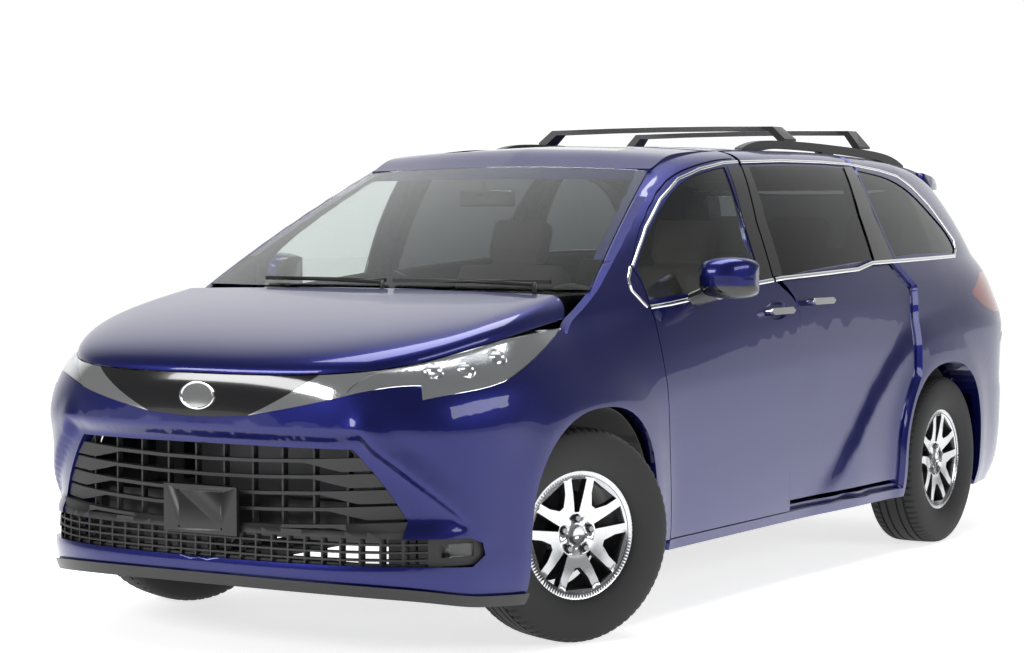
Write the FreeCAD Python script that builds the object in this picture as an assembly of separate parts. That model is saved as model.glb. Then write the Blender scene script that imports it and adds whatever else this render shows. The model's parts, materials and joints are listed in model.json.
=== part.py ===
import FreeCAD, Part
import math
import os

# A family minivan at its real size, in millimetres: +X points forward, +Y to the car's own left, +Z up.
# The origin lies on the ground under the middle of the body. Side pieces are modelled on the left and
# mirrored. The front wheels stand turned to the right, as the van is parked.
#
# A name that ends in _shares holds shares: the first of a pair is of the half length, the second of the
# roof height, unless its comment says otherwise. Every other size is in millimetres or degrees.

V = FreeCAD.Vector
os.makedirs("parts", exist_ok=True)

# Overall sizes
LENGTH = 5174.0
WHEELBASE = 3060.0
FRONT_OVERHANG = 965.0
ROOF_HEIGHT = 1742.0
FLANK_HALF_WIDTH = 975.0
TRACK = 1725.0
HALF_LENGTH = LENGTH / 2
FRONT_AXLE = HALF_LENGTH - FRONT_OVERHANG
REAR_AXLE = FRONT_AXLE - WHEELBASE

# Clearances
MOVING_GAP = 5.0
SEAT_GAP = 0.3
SEAL_GAP = 0.8
BEARING_GAP = 0.05
OVERRUN = 60.0

# Wheels and steering
TYRE_DIAMETER = 737.0
TYRE_WIDTH = 235.0
RIM_DIAMETER = 432.0
RIM_WIDTH = 178.0
RIM_LIP = 14.0
RIM_WALL = 7.0
SPOKE_COUNT = 5
SPOKE_FACE_INSET = 16.0
HUB_RADIUS = 74.0
BOLT_CIRCLE = 114.3
SPINDLE_RADIUS = 30.0
DISC_RADIUS = 150.0
DISC_THICKNESS = 26.0
KINGPIN_Y = 790.0
REST_STEER = -25.0
AXLE_HEIGHT = TYRE_DIAMETER / 2
WHEEL_Y = TRACK / 2

# Wheel arches
ARCH_HALF_LENGTH = 417.0
ARCH_RISE = 404.0
ARCH_BASE = 397.0
ARCH_POWER = 2.4
FRONT_ARCH_SHIFT = -12.0
REAR_ARCH_SHIFT = 10.0
FLARE = 15.0
FLARE_REACH = 95.0
LINER_RADIUS = 432.0
LINER_WALL = 4.0
LINER_DEPTH = 470.0

# Body panels
PANEL_DEPTH = 110.0
PANEL_DEPTH_HIGH = 70.0
DOOR_DEPTH = 90.0
DOOR_DEPTH_HIGH = 50.0
DOOR_EDGE_DEPTH = 25.0
DOOR_EDGE_DEPTH_HIGH = 12.0
DOOR_STEP = 40.0
FLANGE_WIDTH = 20.0
FENDER_DEPTH = 30.0
ROOF_DEPTH = 45.0
HOOD_DEPTH = 22.0
BUMPER_DEPTH = 32.0
GLASS_DEPTH = 7.0
GLASS_INSET = 5.0
SILL_BOTTOM = 245.0
FLOOR_TOP = 300.0
FLOOR_DEPTH = 40.0
HAUNCH = 24.0
HAUNCH_WIDTH = 130.0
PILLAR_WRAP = 94.0
PILLAR_REACH = 120.0

# The corners in plan, as superellipses
FRONT_CORNER_START = 80.0
REAR_CORNER_START = 60.0
FRONT_CORNER_POWER = 3.3
REAR_CORNER_POWER = 4.1

# Height of the belt line along the body
BELT_SHARES = [(-1.0050, 0.7245), (-0.6250, 0.7256), (-0.2760, 0.7170), (0.1345, 0.6831),
    (0.4813, 0.6493), (0.6765, 0.6251), (0.8504, 0.5884), (0.9382, 0.5574),
    (1.0000, 0.5396)]
# Height of the roof along its middle
ROOF_SHARES = [(-0.9007, 0.9185), (-0.8697, 0.9346), (-0.8118, 0.9501), (-0.6571, 0.9747),
    (-0.4639, 0.9914), (-0.2319, 0.9994), (0.0000, 0.9977), (0.0966, 0.9943),
    (0.1902, 0.9839), (0.2540, 0.9501), (0.2860, 0.9288)]
# Height that the sides aim for, which carries on over the windshield
SIDE_ROOF_SHARES = [(-1.0050, 0.8955), (-0.8697, 0.9346), (-0.8118, 0.9501), (-0.6571, 0.9747),
    (-0.4639, 0.9914), (-0.2319, 0.9994), (0.0000, 0.9977), (0.0966, 0.9943),
    (0.1902, 0.9851), (0.2540, 0.9759), (0.5798, 0.9472)]
# Where the nose and the tail stand at each height, as (height, length) shares
NOSE_SHARES = [(0.0976, 0.9780), (0.1435, 0.9919), (0.1808, 0.9975), (0.2181, 0.9905),
    (0.2583, 0.9880), (0.3444, 0.9896), (0.4018, 0.9927), (0.4478, 0.9988),
    (0.4994, 0.9973), (0.5396, 0.9927), (0.5741, 0.9741)]
TAIL_SHARES = [(0.0976, -0.9432), (0.1493, -0.9702), (0.2067, -0.9915), (0.2698, -1.0000),
    (0.3559, -0.9973), (0.4018, -0.9838), (0.4879, -0.9799), (0.5741, -0.9780),
    (0.6602, -0.9722), (0.7245, -0.9548), (0.8324, -0.9161), (0.9185, -0.8775),
    (0.9759, -0.8504)]
# Half width below the belt, as (share of the belt height, share of the flank's half width)
LOWER_SHARES = [(0.14, 0.915), (0.20, 0.950), (0.27, 0.966), (0.36, 0.972), (0.50, 0.980), (0.62, 0.989),
                (0.74, 0.997), (0.84, 0.992), (0.92, 0.975), (1.00, 0.945)]
# Half width above the belt, as (share of the way from belt to roof, share of the belt's half width)
UPPER_SHARES = [(0.0, 1.0), (0.20, 0.963), (0.40, 0.922), (0.60, 0.874), (0.75, 0.833), (0.86, 0.793),
                (0.915, 0.750), (0.945, 0.691)]
# Roof across, from the ditch to the middle, as (share of the belt's half width, share of the rise)
CROWN_SHARES = [(0.0, 1.0), (0.319, 0.985), (0.532, 0.965), (0.691, 0.945)]
# Half width at the belt along the body, as (length, width) shares
BELT_WIDTH_SHARES = [(-1.0050, 0.8472), (-0.7731, 0.8903), (-0.5412, 0.9313), (-0.3092, 0.9559),
    (-0.0773, 0.9641), (0.1546, 0.9559), (0.3865, 0.9313), (0.5798, 0.8974),
    (0.6765, 0.8769), (1.0050, 0.8667)]
# Upper edge of the rear wing's swelling
HAUNCH_SHARES = [(-1.0050, 0.6372), (-0.7039, 0.6280), (-0.5493, 0.6022), (-0.4237, 0.5700),
    (-0.2833, 0.4414), (-0.2161, 0.3490), (-0.1171, 0.2400), (-0.0147, 0.1728),
    (0.0773, 0.1378)]

# Hood, front and rear
HOOD_REAR_X = 1612.0
HOOD_REAR_Z = 1194.0
HOOD_REAR_DROP = 12.0
HOOD_TAPER = 0.93
LAMP_DEPTH = 110.0
LAMP_DEPTH_REAR = 60.0
GATE_LAMP_DEPTH = 20.0
GRILLE_INSET = 8.0
GRILLE_WALL = 10.0
LIP_HEIGHT = 38.0
LIP_PROUD = 12.0
FOG_Y = 836.0
FOG_Z = 380.0
FOG_HALF = 28.0
PLATE_Z = 489.0
PLATE_WIDTH = 305.0
PLATE_HEIGHT = 160.0
PLATE_DEPTH = 14.0
PLATE_HOLE_Y = 177.8
PLATE_HOLE_Z = 120.65
PLATE_HOLE_RADIUS = 3.5
TAILGATE_SEAM_X = -2045.0
SPOILER_REAR_X = -2330.0
SPOILER_LOW_Z = 1563.0
SPOILER_SPREAD_SHARE = 1.06
REAR_BUMPER_DEPTH = 40.0
SUNROOF_FRONT_X = 492.0
SUNROOF_REAR_X = -340.0
SUNROOF_HALF_WIDTH = 400.0
# Half outlines of the tailgate, its window and its lamps, as (width, height) shares
TAILGATE_HALF_SHARES = [(0.5744, 0.3674), (0.6564, 0.4018), (0.7179, 0.5052), (0.7333, 0.6315),
    (0.7179, 0.7245), (0.6718, 0.8324), (0.6277, 0.9070), (0.6154, 1.0333)]
REAR_WINDOW_HALF_SHARES = [(0.6256, 0.7377), (0.5846, 0.8324), (0.5600, 0.8820)]
GATE_LAMP_SHARES = [(0.4923, 0.5855), (0.8205, 0.5855), (0.8205, 0.6785), (0.5333, 0.6785)]
BUMPER_BOTTOM_SHARES = [(0.6378, 0.1177), (0.7731, 0.1223), (0.8670, 0.1292), (0.9470, 0.1504),
    (1.0000, 0.1630)]

# Cabin, floor and frame
FLOOR_HALF_WIDTH = 812.0
FLOOR_REAR_X = -2400.0
TAIL_FLOOR_SHARE = 0.72
STEP_FRONT_X = -1080.0
STEP_REAR_X = -1800.0
STEP_TOP = 480.0
FIREWALL_X = 1150.0
FIREWALL_TOP = 1090.0
LOAD_SILL_TOP = 600.0
HOUSE_INNER_Y = 690.0
HOUSE_OUTER_Y = 858.0
RAIL_INNER_Y = 430.0
RAIL_SIZE = 70.0
RAIL_Z = 430.0
APRON_INNER_Y = 640.0
APRON_Z = 860.0
FRONT_BEAM_X = 2370.0
TOWER_HALF = 110.0
TOWER_TOP = 905.0
LINER_INNER_Y = 524.0
STRUT_RADIUS = 26.0
STRUT_Y = 676.0
STRUT_TOP = 776.0
SPRING_LOW = 620.0
SPRING_SHARE = 1.6
PIN_RADIUS = 18.0
HUB_SHARE = 0.25
RADIATOR_DEPTH = 60.0
RADIATOR_HALF = 380.0
RADIATOR_LOW = 420.0
COWL_HALF_WIDTH = 740.0
COWL_TOP = 1172.0
DASH_HALF_WIDTH = 790.0
DASH_SHARES = [(0.3479, 0.4018), (0.3247, 0.5798), (0.3595, 0.6085), (0.4349, 0.6228),
    (0.4349, 0.4018)]
CONSOLE_REAR_X = 420.0
CONSOLE_HALF = 130.0
CONSOLE_TOP = 720.0
STEER_X = 745.0
STEER_Y = 390.0
STEER_Z = 1010.0
STEER_RADIUS = 185.0
STEER_GRIP = 15.0
STEER_HUB = 62.0
STEER_TILT = 25.0
SEAT_CUSHION = 140.0
SEAT_ROUND = 38.0
SEAT_LENGTH = 500.0
SEAT_BACK_DEPTH = 130.0
SEAT_BACK_HEIGHT = 560.0
SEAT_LEAN = 20.0
HEADREST_WIDTH = 260.0
HEADREST_HEIGHT = 180.0
HEADREST_POST = 7.0
FRONT_SEAT_X = 230.0
FRONT_SEAT_Y = 390.0
FRONT_SEAT_HALF = 260.0
FRONT_SEAT_TOP = 730.0
MIDDLE_SEAT_X = -790.0
MIDDLE_SEAT_Y = 400.0
MIDDLE_SEAT_TOP = 740.0
THIRD_SEAT_X = -1690.0
THIRD_SEAT_HALF = 600.0
THIRD_SEAT_TOP = 740.0
# Roof rack
RAIL_REAR_X = -1830.0
RAIL_FRONT_X = -187.0
RACK_Y = 585.0
RACK_FOOT = 8.0
RACK_RISE = 34.0
RACK_RAIL_WIDTH = 34.0
RACK_FOOT_LENGTH = 120.0
FRONT_BAR_X = -637.0
REAR_BAR_X = -1399.0
BAR_TOP = 1828.0
BAR_HEIGHT = 20.0
BAR_WIDTH = 66.0
BAR_HALF = 540.0
# Mirrors
MIRROR_X = 795.0
MIRROR_Z = 1221.0
MIRROR_DEPTH = 150.0
MIRROR_ARM_X = 830.0
MIRROR_ARM_Z = 1128.0
MIRROR_ARM_LENGTH = 110.0
MIRROR_ARM_HEIGHT = 56.0
# Running gear
SPOKE_DEPTH = 34.0
NUT_WELL = 14.0
NUT_RADIUS = 10.0
NUT_DEPTH = 22.0
KNUCKLE_HALF = 60.0
KNUCKLE_DEPTH = 50.0
KNUCKLE_DROP = 110.0
SUBFRAME_HALF = 420.0
SUBFRAME_HEIGHT = 60.0
ARM_HALF = 25.0
ARM_HEIGHT = 30.0
BEAM_HALF = 45.0
ENGINE_REAR_X = 1330.0
ENGINE_FRONT_X = 1950.0
ENGINE_HALF = 400.0
ENGINE_LOW = 320.0
ENGINE_TOP = 900.0
TANK_REAR_X = -900.0
TANK_FRONT_X = 0.0
TANK_HALF = 500.0
TANK_LOW = 190.0

# Short straight steps that a curved outline is cut in
CURVE_STEP = 45.0

# The scoop round the grille's mouth, with the ridge that runs down beside it
SCOOP_DEPTH = 26.0
SCOOP_EDGE = 42.0
SCOOP_LEDGE = 60.0
SCOOP_FLOOR = 425.0
RIDGE_RISE = 9.0
RIDGE_WIDTH = 75.0
# Upper edge of the scoop and its ridge, seen along the corner's diagonal, as shares of the half length
SCOOP_TOP_SHARES = [(-0.8200, 0.2948), (-0.5619, 0.2945), (-0.5176, 0.2978)]
SCOOP_RIDGE_SHARES = [(-0.5176, 0.2978), (-0.5041, 0.2790), (-0.4495, 0.2370), (-0.4113, 0.2078),
                      (-0.3800, 0.1820), (-0.3640, 0.1640)]
SCOOP_CLOSE_SHARES = [(-0.3640, 0.1000), (-0.8200, 0.1000)]

# Grille slats with their paddles, the intake's mesh below and the fog lamps
SLAT_COUNT = 5
SLAT_HEIGHT = 11.0
SLAT_TOP_Z = 655.0
SLAT_PITCH = 53.0
SLAT_RISE = 16.0
SLAT_RISE_Y = 400.0
PADDLE_Y = 385.0
PADDLE_STEP_Y = 28.0
PADDLE_RUN = 130.0
PADDLE_HEIGHT = 43.0
BACK_BAR_WIDTH = 7.0
BACK_BAR_PITCH = 118.0
BACK_BAR_COUNT = 5
BACK_BAR_INSET = 24.0
DIVIDER_Z = 432.0
DIVIDER_HEIGHT = 22.0
INTAKE_LOW_Z = 330.0
MESH_LOW_Z = 352.0
MESH_PITCH_Z = 25.0
MESH_ROWS = 3
MESH_BAR = 6.0
MESH_PITCH_Y = 62.0
MESH_COLUMNS = 12
BEZEL_Y = 775.0
FOG_HALF_HEIGHT = 21.0
# Door handles, as (length, height) of their middles
FRONT_HANDLE = (228.0, 1083.0)
SLIDE_HANDLE = (-143.0, 1110.0)
HANDLE_HALF_LENGTH = 102.0
HANDLE_HALF_HEIGHT = 13.0
HANDLE_TAPER_SHARE = 1.6
HANDLE_PROUD = 34.0
HANDLE_THICKNESS = 12.0
HANDLE_FOOT = 20.0
CUP_HALF_LENGTH = 105.0
CUP_HALF_HEIGHT = 38.0
CUP_DEPTH = 16.0

# Headlamps: the cover and the middles of the hollow reflectors in the corner's view
COVER_THICKNESS = 4.0
BOWL_RADIUS = 36.0
BOWL_SHARES = [(-0.4270, 0.3730), (-0.3830, 0.3740), (-0.3370, 0.3860)]

HUB_BACK = 30.0
SHROUD_RADIUS = 46.0
SHROUD_LENGTH = 130.0
STEER_PIN_RADIUS = 11.0
SCREEN_X = 872.0
SCREEN_DEPTH = 60.0
SCREEN_HALF = 125.0
SCREEN_LOW = 1040.0
SCREEN_TOP = 1160.0
BINNACLE_X = 900.0
BINNACLE_DEPTH = 120.0
BINNACLE_HALF = 190.0
BINNACLE_LOW = 1020.0
BINNACLE_TOP = 1130.0
RAIL_END_SHARE = 7.0
BAR_CROWN = 6.0
BAR_TOE = 9.0
BAR_FLARE_SHARE = 1.7
# Housing of the mirror, from the car outwards: share of its width, then how far it reaches back,
# forward, down and up from its middle, as shares of its depth and height
MIRROR_SHARES = [(0.0, 0.70, 0.30, 0.36, 0.40), (0.18, 0.72, 0.50, 0.44, 0.48), (0.45, 0.72, 0.50, 0.48, 0.52),
                 (0.75, 0.70, 0.33, 0.48, 0.50), (0.93, 0.68, 0.02, 0.42, 0.42), (1.0, 0.62, -0.25, 0.30, 0.30)]
MIRROR_INNER_Y = 945.0
MIRROR_WIDTH = 185.0
MIRROR_HEIGHT = 152.0
WIPER_SHARES = [(0.82, 0.10), (0.06, -0.62)]
WIPER_UP_SHARE = 0.035
WIPER_RADIUS = 7.0
WIPER_LIFT = 9.0
WIPER_PIVOT = 8.0
WIPER_PIVOT_HEIGHT = 50.0
WIPER_PIVOT_BACK = 26.0
CABIN_MIRROR_SHARE = 0.86
CABIN_MIRROR_DROP = 70.0
CABIN_MIRROR_DEPTH = 32.0
CABIN_MIRROR_HALF = 120.0
CAP_RADIUS = 33.0
CAP_INSET = 6.0
SPOKE_CROWN = 6.0
# Corners of the narrow pockets and of the wide windows in a wheel's face, as (radius share, degrees)
POCKET_SHARES = [(0.36, -7.0), (0.60, -8.5), (0.90, -9.5), (0.90, 9.5), (0.60, 8.5), (0.36, 7.0)]
WINDOW_SHARES = [(0.52, -5.0), (0.70, -15.0), (0.90, -17.5), (0.90, 17.5), (0.70, 15.0), (0.52, 5.0)]
# The tyre's outline from the tread's middle, as (drop in millimetres, share of its half width)
TYRE_PROFILE = [(1.5, 0.5), (7.0, 0.78), (24.0, 0.93), (62.0, 1.0)]
BEAD_RISE = 40.0
EXHAUST_Y = 300.0
EXHAUST_DROP = 38.0
EXHAUST_RADIUS = 28.0
EXHAUST_REAR_X = -2360.0
EXHAUST_FRONT_X = 1080.0
SILENCER_FRONT_X = -1960.0
SILENCER_HALF = 75.0

# The windshield, from the cowl to the roof
WINDSHIELD_FOOT_X = 1585.0
WINDSHIELD_FOOT_Y = 851.0
WINDSHIELD_FOOT_Z = 1190.0
WINDSHIELD_FOOT_SWEEP = 130.0
WINDSHIELD_HEAD_X = 704.0
WINDSHIELD_HEAD_Y = 640.0
WINDSHIELD_HEAD_Z = 1642.0
WINDSHIELD_HEAD_SWEEP = 47.0
WINDSHIELD_DROP = 19.0
WINDSHIELD_BULGE = 10.0

# Outlines seen from the side
DOOR_FRONT_EDGE_SHARES = [(0.4066, 0.1636), (0.4206, 0.3473), (0.4372, 0.4839), (0.4472, 0.5729),
    (0.4411, 0.6343), (0.4554, 0.7279)]
FRAME_TOP_SHARES = [(0.4554, 0.7279), (0.4287, 0.7652), (0.3792, 0.8146), (0.3050, 0.8754),
    (0.2327, 0.9208), (0.1697, 0.9426), (0.0963, 0.9569), (0.0483, 0.9598)]
DOOR_SEAM_SHARES = [(0.0483, 0.9598), (0.0618, 0.8955), (0.0773, 0.8175), (0.0785, 0.6917),
    (0.0615, 0.6774), (0.0151, 0.6297), (0.0189, 0.5253), (0.0278, 0.3749),
    (0.0205, 0.1636)]
SLIDE_TOP_SHARES = [(0.0483, 0.9598), (0.0580, 1.0276), (-0.3904, 1.0276), (-0.3811, 0.9610)]
SLIDE_REAR_SHARES = [(-0.3811, 0.9610), (-0.3711, 0.9414), (-0.3614, 0.8307), (-0.3804, 0.7245),
    (-0.3943, 0.7107), (-0.4499, 0.6579), (-0.4368, 0.4925), (-0.4333, 0.4357)]
SLIDE_ARCH_SHARES = [(-0.4333, 0.4357), (-0.4020, 0.3674), (-0.3865, 0.3100), (-0.3807, 0.2468),
    (-0.3800, 0.1636)]
FRONT_WINDOW_SHARES = [
    [(0.4438, 0.7245), (0.4194, 0.7566), (0.3711, 0.8048), (0.2976, 0.8639),
    (0.2281, 0.9070), (0.1681, 0.9277), (0.1013, 0.9403)],
    [(0.1013, 0.9403), (0.1160, 0.8175), (0.1183, 0.6935)],
    [(0.1183, 0.6935), (0.2706, 0.6768), (0.4376, 0.6602)],
    [(0.4376, 0.6602), (0.4438, 0.7245)]]
SLIDE_WINDOW_SHARES = [
    [(0.0232, 0.9414), (-0.1546, 0.9483), (-0.3247, 0.9443)],
    [(-0.3247, 0.9443), (-0.3054, 0.8312), (-0.2996, 0.7245)],
    [(-0.2996, 0.7245), (-0.1160, 0.7118), (0.0464, 0.6969)],
    [(0.0464, 0.6969), (0.0387, 0.8209), (0.0232, 0.9414)]]
QUARTER_WINDOW_SHARES = [
    [(-0.3769, 0.9414), (-0.4561, 0.9311), (-0.5296, 0.9127), (-0.5876, 0.8794),
    (-0.6533, 0.8180), (-0.6958, 0.7635), (-0.7004, 0.7377)],
    [(-0.7004, 0.7377), (-0.6861, 0.7302)],
    [(-0.6861, 0.7302), (-0.5412, 0.7348), (-0.3904, 0.7302)],
    [(-0.3904, 0.7302), (-0.3730, 0.8307), (-0.3769, 0.9414)]]
FENDER_FRONT_SHARES = [(0.7259, 0.4495), (0.7862, 0.4983), (0.8164, 0.5287)]
FENDER_LAMP_SHARES = [(0.8164, 0.5287), (0.7472, 0.5654), (0.6567, 0.6177)]
HOOD_SIDE_SHARES = [(0.6567, 0.6177), (0.6513, 0.6269), (0.6390, 0.6458), (0.6324, 0.6688),
    (0.6270, 0.6871)]
FENDER_TOP_SHARES = [(0.6270, 0.6871), (0.5671, 0.6969), (0.5025, 0.7463)]
FENDER_PILLAR_SHARES = [(0.5025, 0.7463), (0.4554, 0.7279)]
REAR_BUMPER_SPLIT_SHARES = [(-0.6919, 0.3961), (-0.7344, 0.4363), (-0.8040, 0.4879), (-1.0437, 0.4994)]
TAILGATE_EDGE_SHARES = [(-1.0437, 0.3559), (-0.8736, 0.3559), (-0.8659, 0.5166), (-0.8620, 0.7245),
    (-0.8311, 0.8496), (-0.7982, 0.9414), (-0.7886, 1.0333)]
TAIL_LAMP_SHARES = [(-0.6969, 0.6286), (-0.7538, 0.6602), (-0.7886, 0.6785), (-1.0437, 0.6785),
    (-1.0437, 0.5798), (-0.8118, 0.5741), (-0.7344, 0.5970), (-0.6969, 0.6286)]

# Outlines of the front, seen along the corner's diagonal
BADGE_BASE_SHARES = [(-0.7317, 0.3077), (-0.7071, 0.3081), (-0.6494, 0.3123)]
WING_INNER_SHARES = [(-0.6494, 0.3123), (-0.6112, 0.3355), (-0.5781, 0.3576), (-0.5447, 0.3788)]
WING_TOP_SHARES = [(-0.5447, 0.3788), (-0.4914, 0.4175), (-0.3113, 0.4407), (-0.2233, 0.4407)]
WING_BASE_SHARES = [(-0.6494, 0.3123), (-0.5896, 0.3270), (-0.5439, 0.3386)]
WING_OUTER_SHARES = [(-0.5439, 0.3386), (-0.5193, 0.3595), (-0.4920, 0.3734)]
WING_STRIP_SHARES = [(-0.4920, 0.3734), (-0.4097, 0.3920), (-0.3094, 0.4059), (-0.2260, 0.4152)]
LAMP_BASE_SHARES = [(-0.5439, 0.3386), (-0.4964, 0.3494), (-0.4458, 0.3529)]
LAMP_FANG_SHARES = [(-0.4458, 0.3529), (-0.4455, 0.3355)]
LAMP_OUTER_SHARES = [(-0.4455, 0.3355), (-0.3879, 0.3440), (-0.3283, 0.3560), (-0.2796, 0.3807),
    (-0.2260, 0.4152)]
GRILLE_MOUTH_SHARES = [
    [(-0.7317, 0.2737), (-0.6459, 0.2737), (-0.5281, 0.2733)],
    [(-0.5281, 0.2733), (-0.4972, 0.2370), (-0.4625, 0.1848)],
    [(-0.4625, 0.1848), (-0.4704, 0.1627)],
    [(-0.4704, 0.1627), (-0.3843, 0.1620)],
    [(-0.3843, 0.1620), (-0.3701, 0.1569), (-0.3605, 0.1461), (-0.3676, 0.1334),
    (-0.3980, 0.1260)],
    [(-0.3980, 0.1260), (-0.4748, 0.1291), (-0.7071, 0.1291), (-0.7317, 0.1291)],
    [(-0.7317, 0.1291), (-0.7317, 0.2737)]]


def smooth(points, place):
    """A smooth curve through (place, value) pairs that never overshoots them."""
    last = len(points) - 1
    if place <= points[0][0]:
        (a, fa), (b, fb) = points[0], points[1]
        return fa + (fb - fa) * (place - a) / (b - a)
    if place >= points[last][0]:
        (a, fa), (b, fb) = points[last - 1], points[last]
        return fb + (fb - fa) * (place - b) / (b - a)
    rises = [(points[i + 1][1] - points[i][1]) / (points[i + 1][0] - points[i][0]) for i in range(last)]
    slopes = [rises[0]]
    for before, after in zip(rises, rises[1:]):
        slopes.append(0.0 if before * after <= 0 else 2 * before * after / (before + after))
    slopes.append(rises[-1])
    k = 0
    while place > points[k + 1][0]:
        k += 1
    run = points[k + 1][0] - points[k][0]
    t = (place - points[k][0]) / run
    return ((2 * t ** 3 - 3 * t * t + 1) * points[k][1] + (t ** 3 - 2 * t * t + t) * run * slopes[k]
            + (3 * t * t - 2 * t ** 3) * points[k + 1][1] + (t ** 3 - t * t) * run * slopes[k + 1])


def scaled(shares, first, second):
    return [(a * first, b * second) for a, b in shares]


def side_points(shares):
    """Points seen from the side, as (length, height)."""
    return scaled(shares, HALF_LENGTH, ROOF_HEIGHT)


BELT = side_points(BELT_SHARES)
ROOF = side_points(ROOF_SHARES)
SIDE_ROOF = side_points(SIDE_ROOF_SHARES)
NOSE = scaled(NOSE_SHARES, ROOF_HEIGHT, HALF_LENGTH)
TAIL = scaled(TAIL_SHARES, ROOF_HEIGHT, HALF_LENGTH)
BELT_WIDTH = scaled(BELT_WIDTH_SHARES, HALF_LENGTH, FLANK_HALF_WIDTH)
HAUNCH_LINE = side_points(HAUNCH_SHARES)
FRONT_CORNER_X = FRONT_AXLE + FRONT_CORNER_START
REAR_CORNER_X = REAR_AXLE - REAR_CORNER_START


# The outer surface

def corner_share(place):
    """Share of the full width at a place along the body, before the ends are shaped."""
    if place > FRONT_CORNER_X:
        t = min((place - FRONT_CORNER_X) / (HALF_LENGTH - FRONT_CORNER_X), 1.0)
        return (1 - t ** FRONT_CORNER_POWER) ** (1 / FRONT_CORNER_POWER)
    if place < REAR_CORNER_X:
        t = min((REAR_CORNER_X - place) / (HALF_LENGTH + REAR_CORNER_X), 1.0)
        return (1 - t ** REAR_CORNER_POWER) ** (1 / REAR_CORNER_POWER)
    return 1.0


def real_length(place, height):
    """Where a place along the body comes to lie once the nose or the tail is shaped."""
    if place > FRONT_CORNER_X:
        reach = smooth(NOSE, height) - FRONT_CORNER_X
        return FRONT_CORNER_X + reach * (place - FRONT_CORNER_X) / (HALF_LENGTH - FRONT_CORNER_X)
    if place < REAR_CORNER_X:
        reach = REAR_CORNER_X - smooth(TAIL, height)
        return REAR_CORNER_X - reach * (REAR_CORNER_X - place) / (HALF_LENGTH + REAR_CORNER_X)
    return place


def arch_radii(x, z, centre):
    """How far a point seen from the side lies from a wheel arch's centre, in arch radii."""
    across = abs(x - centre) / ARCH_HALF_LENGTH
    up = max(z - ARCH_BASE, 0.0) / ARCH_RISE
    return (across ** ARCH_POWER + up ** ARCH_POWER) ** (1 / ARCH_POWER)


FRONT_ARCH_X = FRONT_AXLE + FRONT_ARCH_SHIFT
REAR_ARCH_X = REAR_AXLE + REAR_ARCH_SHIFT


def soft_step(t):
    t = min(max(t, 0.0), 1.0)
    return t * t * (3 - 2 * t)


def flank_relief(x, z):
    """Outward swelling of the flank: the lips of the wheel arches and the rear wing's haunch."""
    swell = 0.0
    for centre in (FRONT_ARCH_X, REAR_ARCH_X):
        out = max(arch_radii(x, z, centre) - 1.0, 0.0) * ARCH_RISE / FLARE_REACH
        swell += FLARE * math.exp(-out * out)
    below = (smooth(HAUNCH_LINE, x) - z) / HAUNCH_WIDTH
    swell += HAUNCH * soft_step(below) * soft_step(-x / HAUNCH_WIDTH / 5)
    return swell


def windshield_point(across, up):
    """Point of the windshield's outer face: across runs -1..1, up runs 0..1 from cowl to roof."""
    edge = WINDSHIELD_FOOT_Y + (WINDSHIELD_HEAD_Y - WINDSHIELD_FOOT_Y) * up
    sweep = WINDSHIELD_FOOT_SWEEP + (WINDSHIELD_HEAD_SWEEP - WINDSHIELD_FOOT_SWEEP) * up
    x = WINDSHIELD_FOOT_X + (WINDSHIELD_HEAD_X - WINDSHIELD_FOOT_X) * up - sweep * across * across
    z = WINDSHIELD_FOOT_Z + (WINDSHIELD_HEAD_Z - WINDSHIELD_FOOT_Z) * up - WINDSHIELD_DROP * up * across * across
    bulge = WINDSHIELD_BULGE * 4 * up * (1 - up) if 0 < up < 1 else 0.0
    return V(x + bulge / 2, edge * across, z + bulge)


def windshield_length(height):
    """Length at which the windshield's edge reaches a height."""
    up = (height - WINDSHIELD_FOOT_Z) / (WINDSHIELD_HEAD_Z - WINDSHIELD_DROP - WINDSHIELD_FOOT_Z)
    return windshield_point(1.0, up).x


def corner_points(shares):
    return scaled(shares, HALF_LENGTH, HALF_LENGTH)


SCOOP_TOP = corner_points(SCOOP_TOP_SHARES)
SCOOP_RIDGE = corner_points(SCOOP_RIDGE_SHARES)
SCOOP_RIM = SCOOP_TOP[:-1] + SCOOP_RIDGE
SCOOP_OUTLINE = SCOOP_RIM + corner_points(SCOOP_CLOSE_SHARES)


def corner_view(point):
    """Where a point of the front shows along the corner's diagonal, as (across, height)."""
    return (point.y - point.x) / math.sqrt(2), point.z


def distance_to(line, a, b):
    """Shortest distance from a place to a line of points."""
    nearest = math.inf
    for (a0, b0), (a1, b1) in zip(line, line[1:]):
        along = ((a - a0) * (a1 - a0) + (b - b0) * (b1 - b0)) / ((a1 - a0) ** 2 + (b1 - b0) ** 2)
        along = min(max(along, 0.0), 1.0)
        nearest = min(nearest, math.hypot(a - a0 - along * (a1 - a0), b - b0 - along * (b1 - b0)))
    return nearest


def encloses(outline, a, b):
    """Whether a place lies inside a closed outline."""
    inside = False
    for (a0, b0), (a1, b1) in zip(outline, outline[1:] + outline[:1]):
        if (b0 > b) != (b1 > b) and a < a0 + (b - b0) * (a1 - a0) / (b1 - b0):
            inside = not inside
    return inside


def front_relief(point):
    """How far the bumper's skin stands forward of its plain form: a scoop round the mouth and its ridge."""
    a, b = corner_view(point)
    ridge = RIDGE_RISE * soft_step(1 - distance_to(SCOOP_RIDGE, a, b) / RIDGE_WIDTH)
    if not encloses(SCOOP_OUTLINE, a, b):
        return ridge
    inward = soft_step(distance_to(SCOOP_RIM, a, b) / SCOOP_EDGE)
    return ridge - SCOOP_DEPTH * inward * soft_step((b - SCOOP_FLOOR) / SCOOP_LEDGE)


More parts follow.
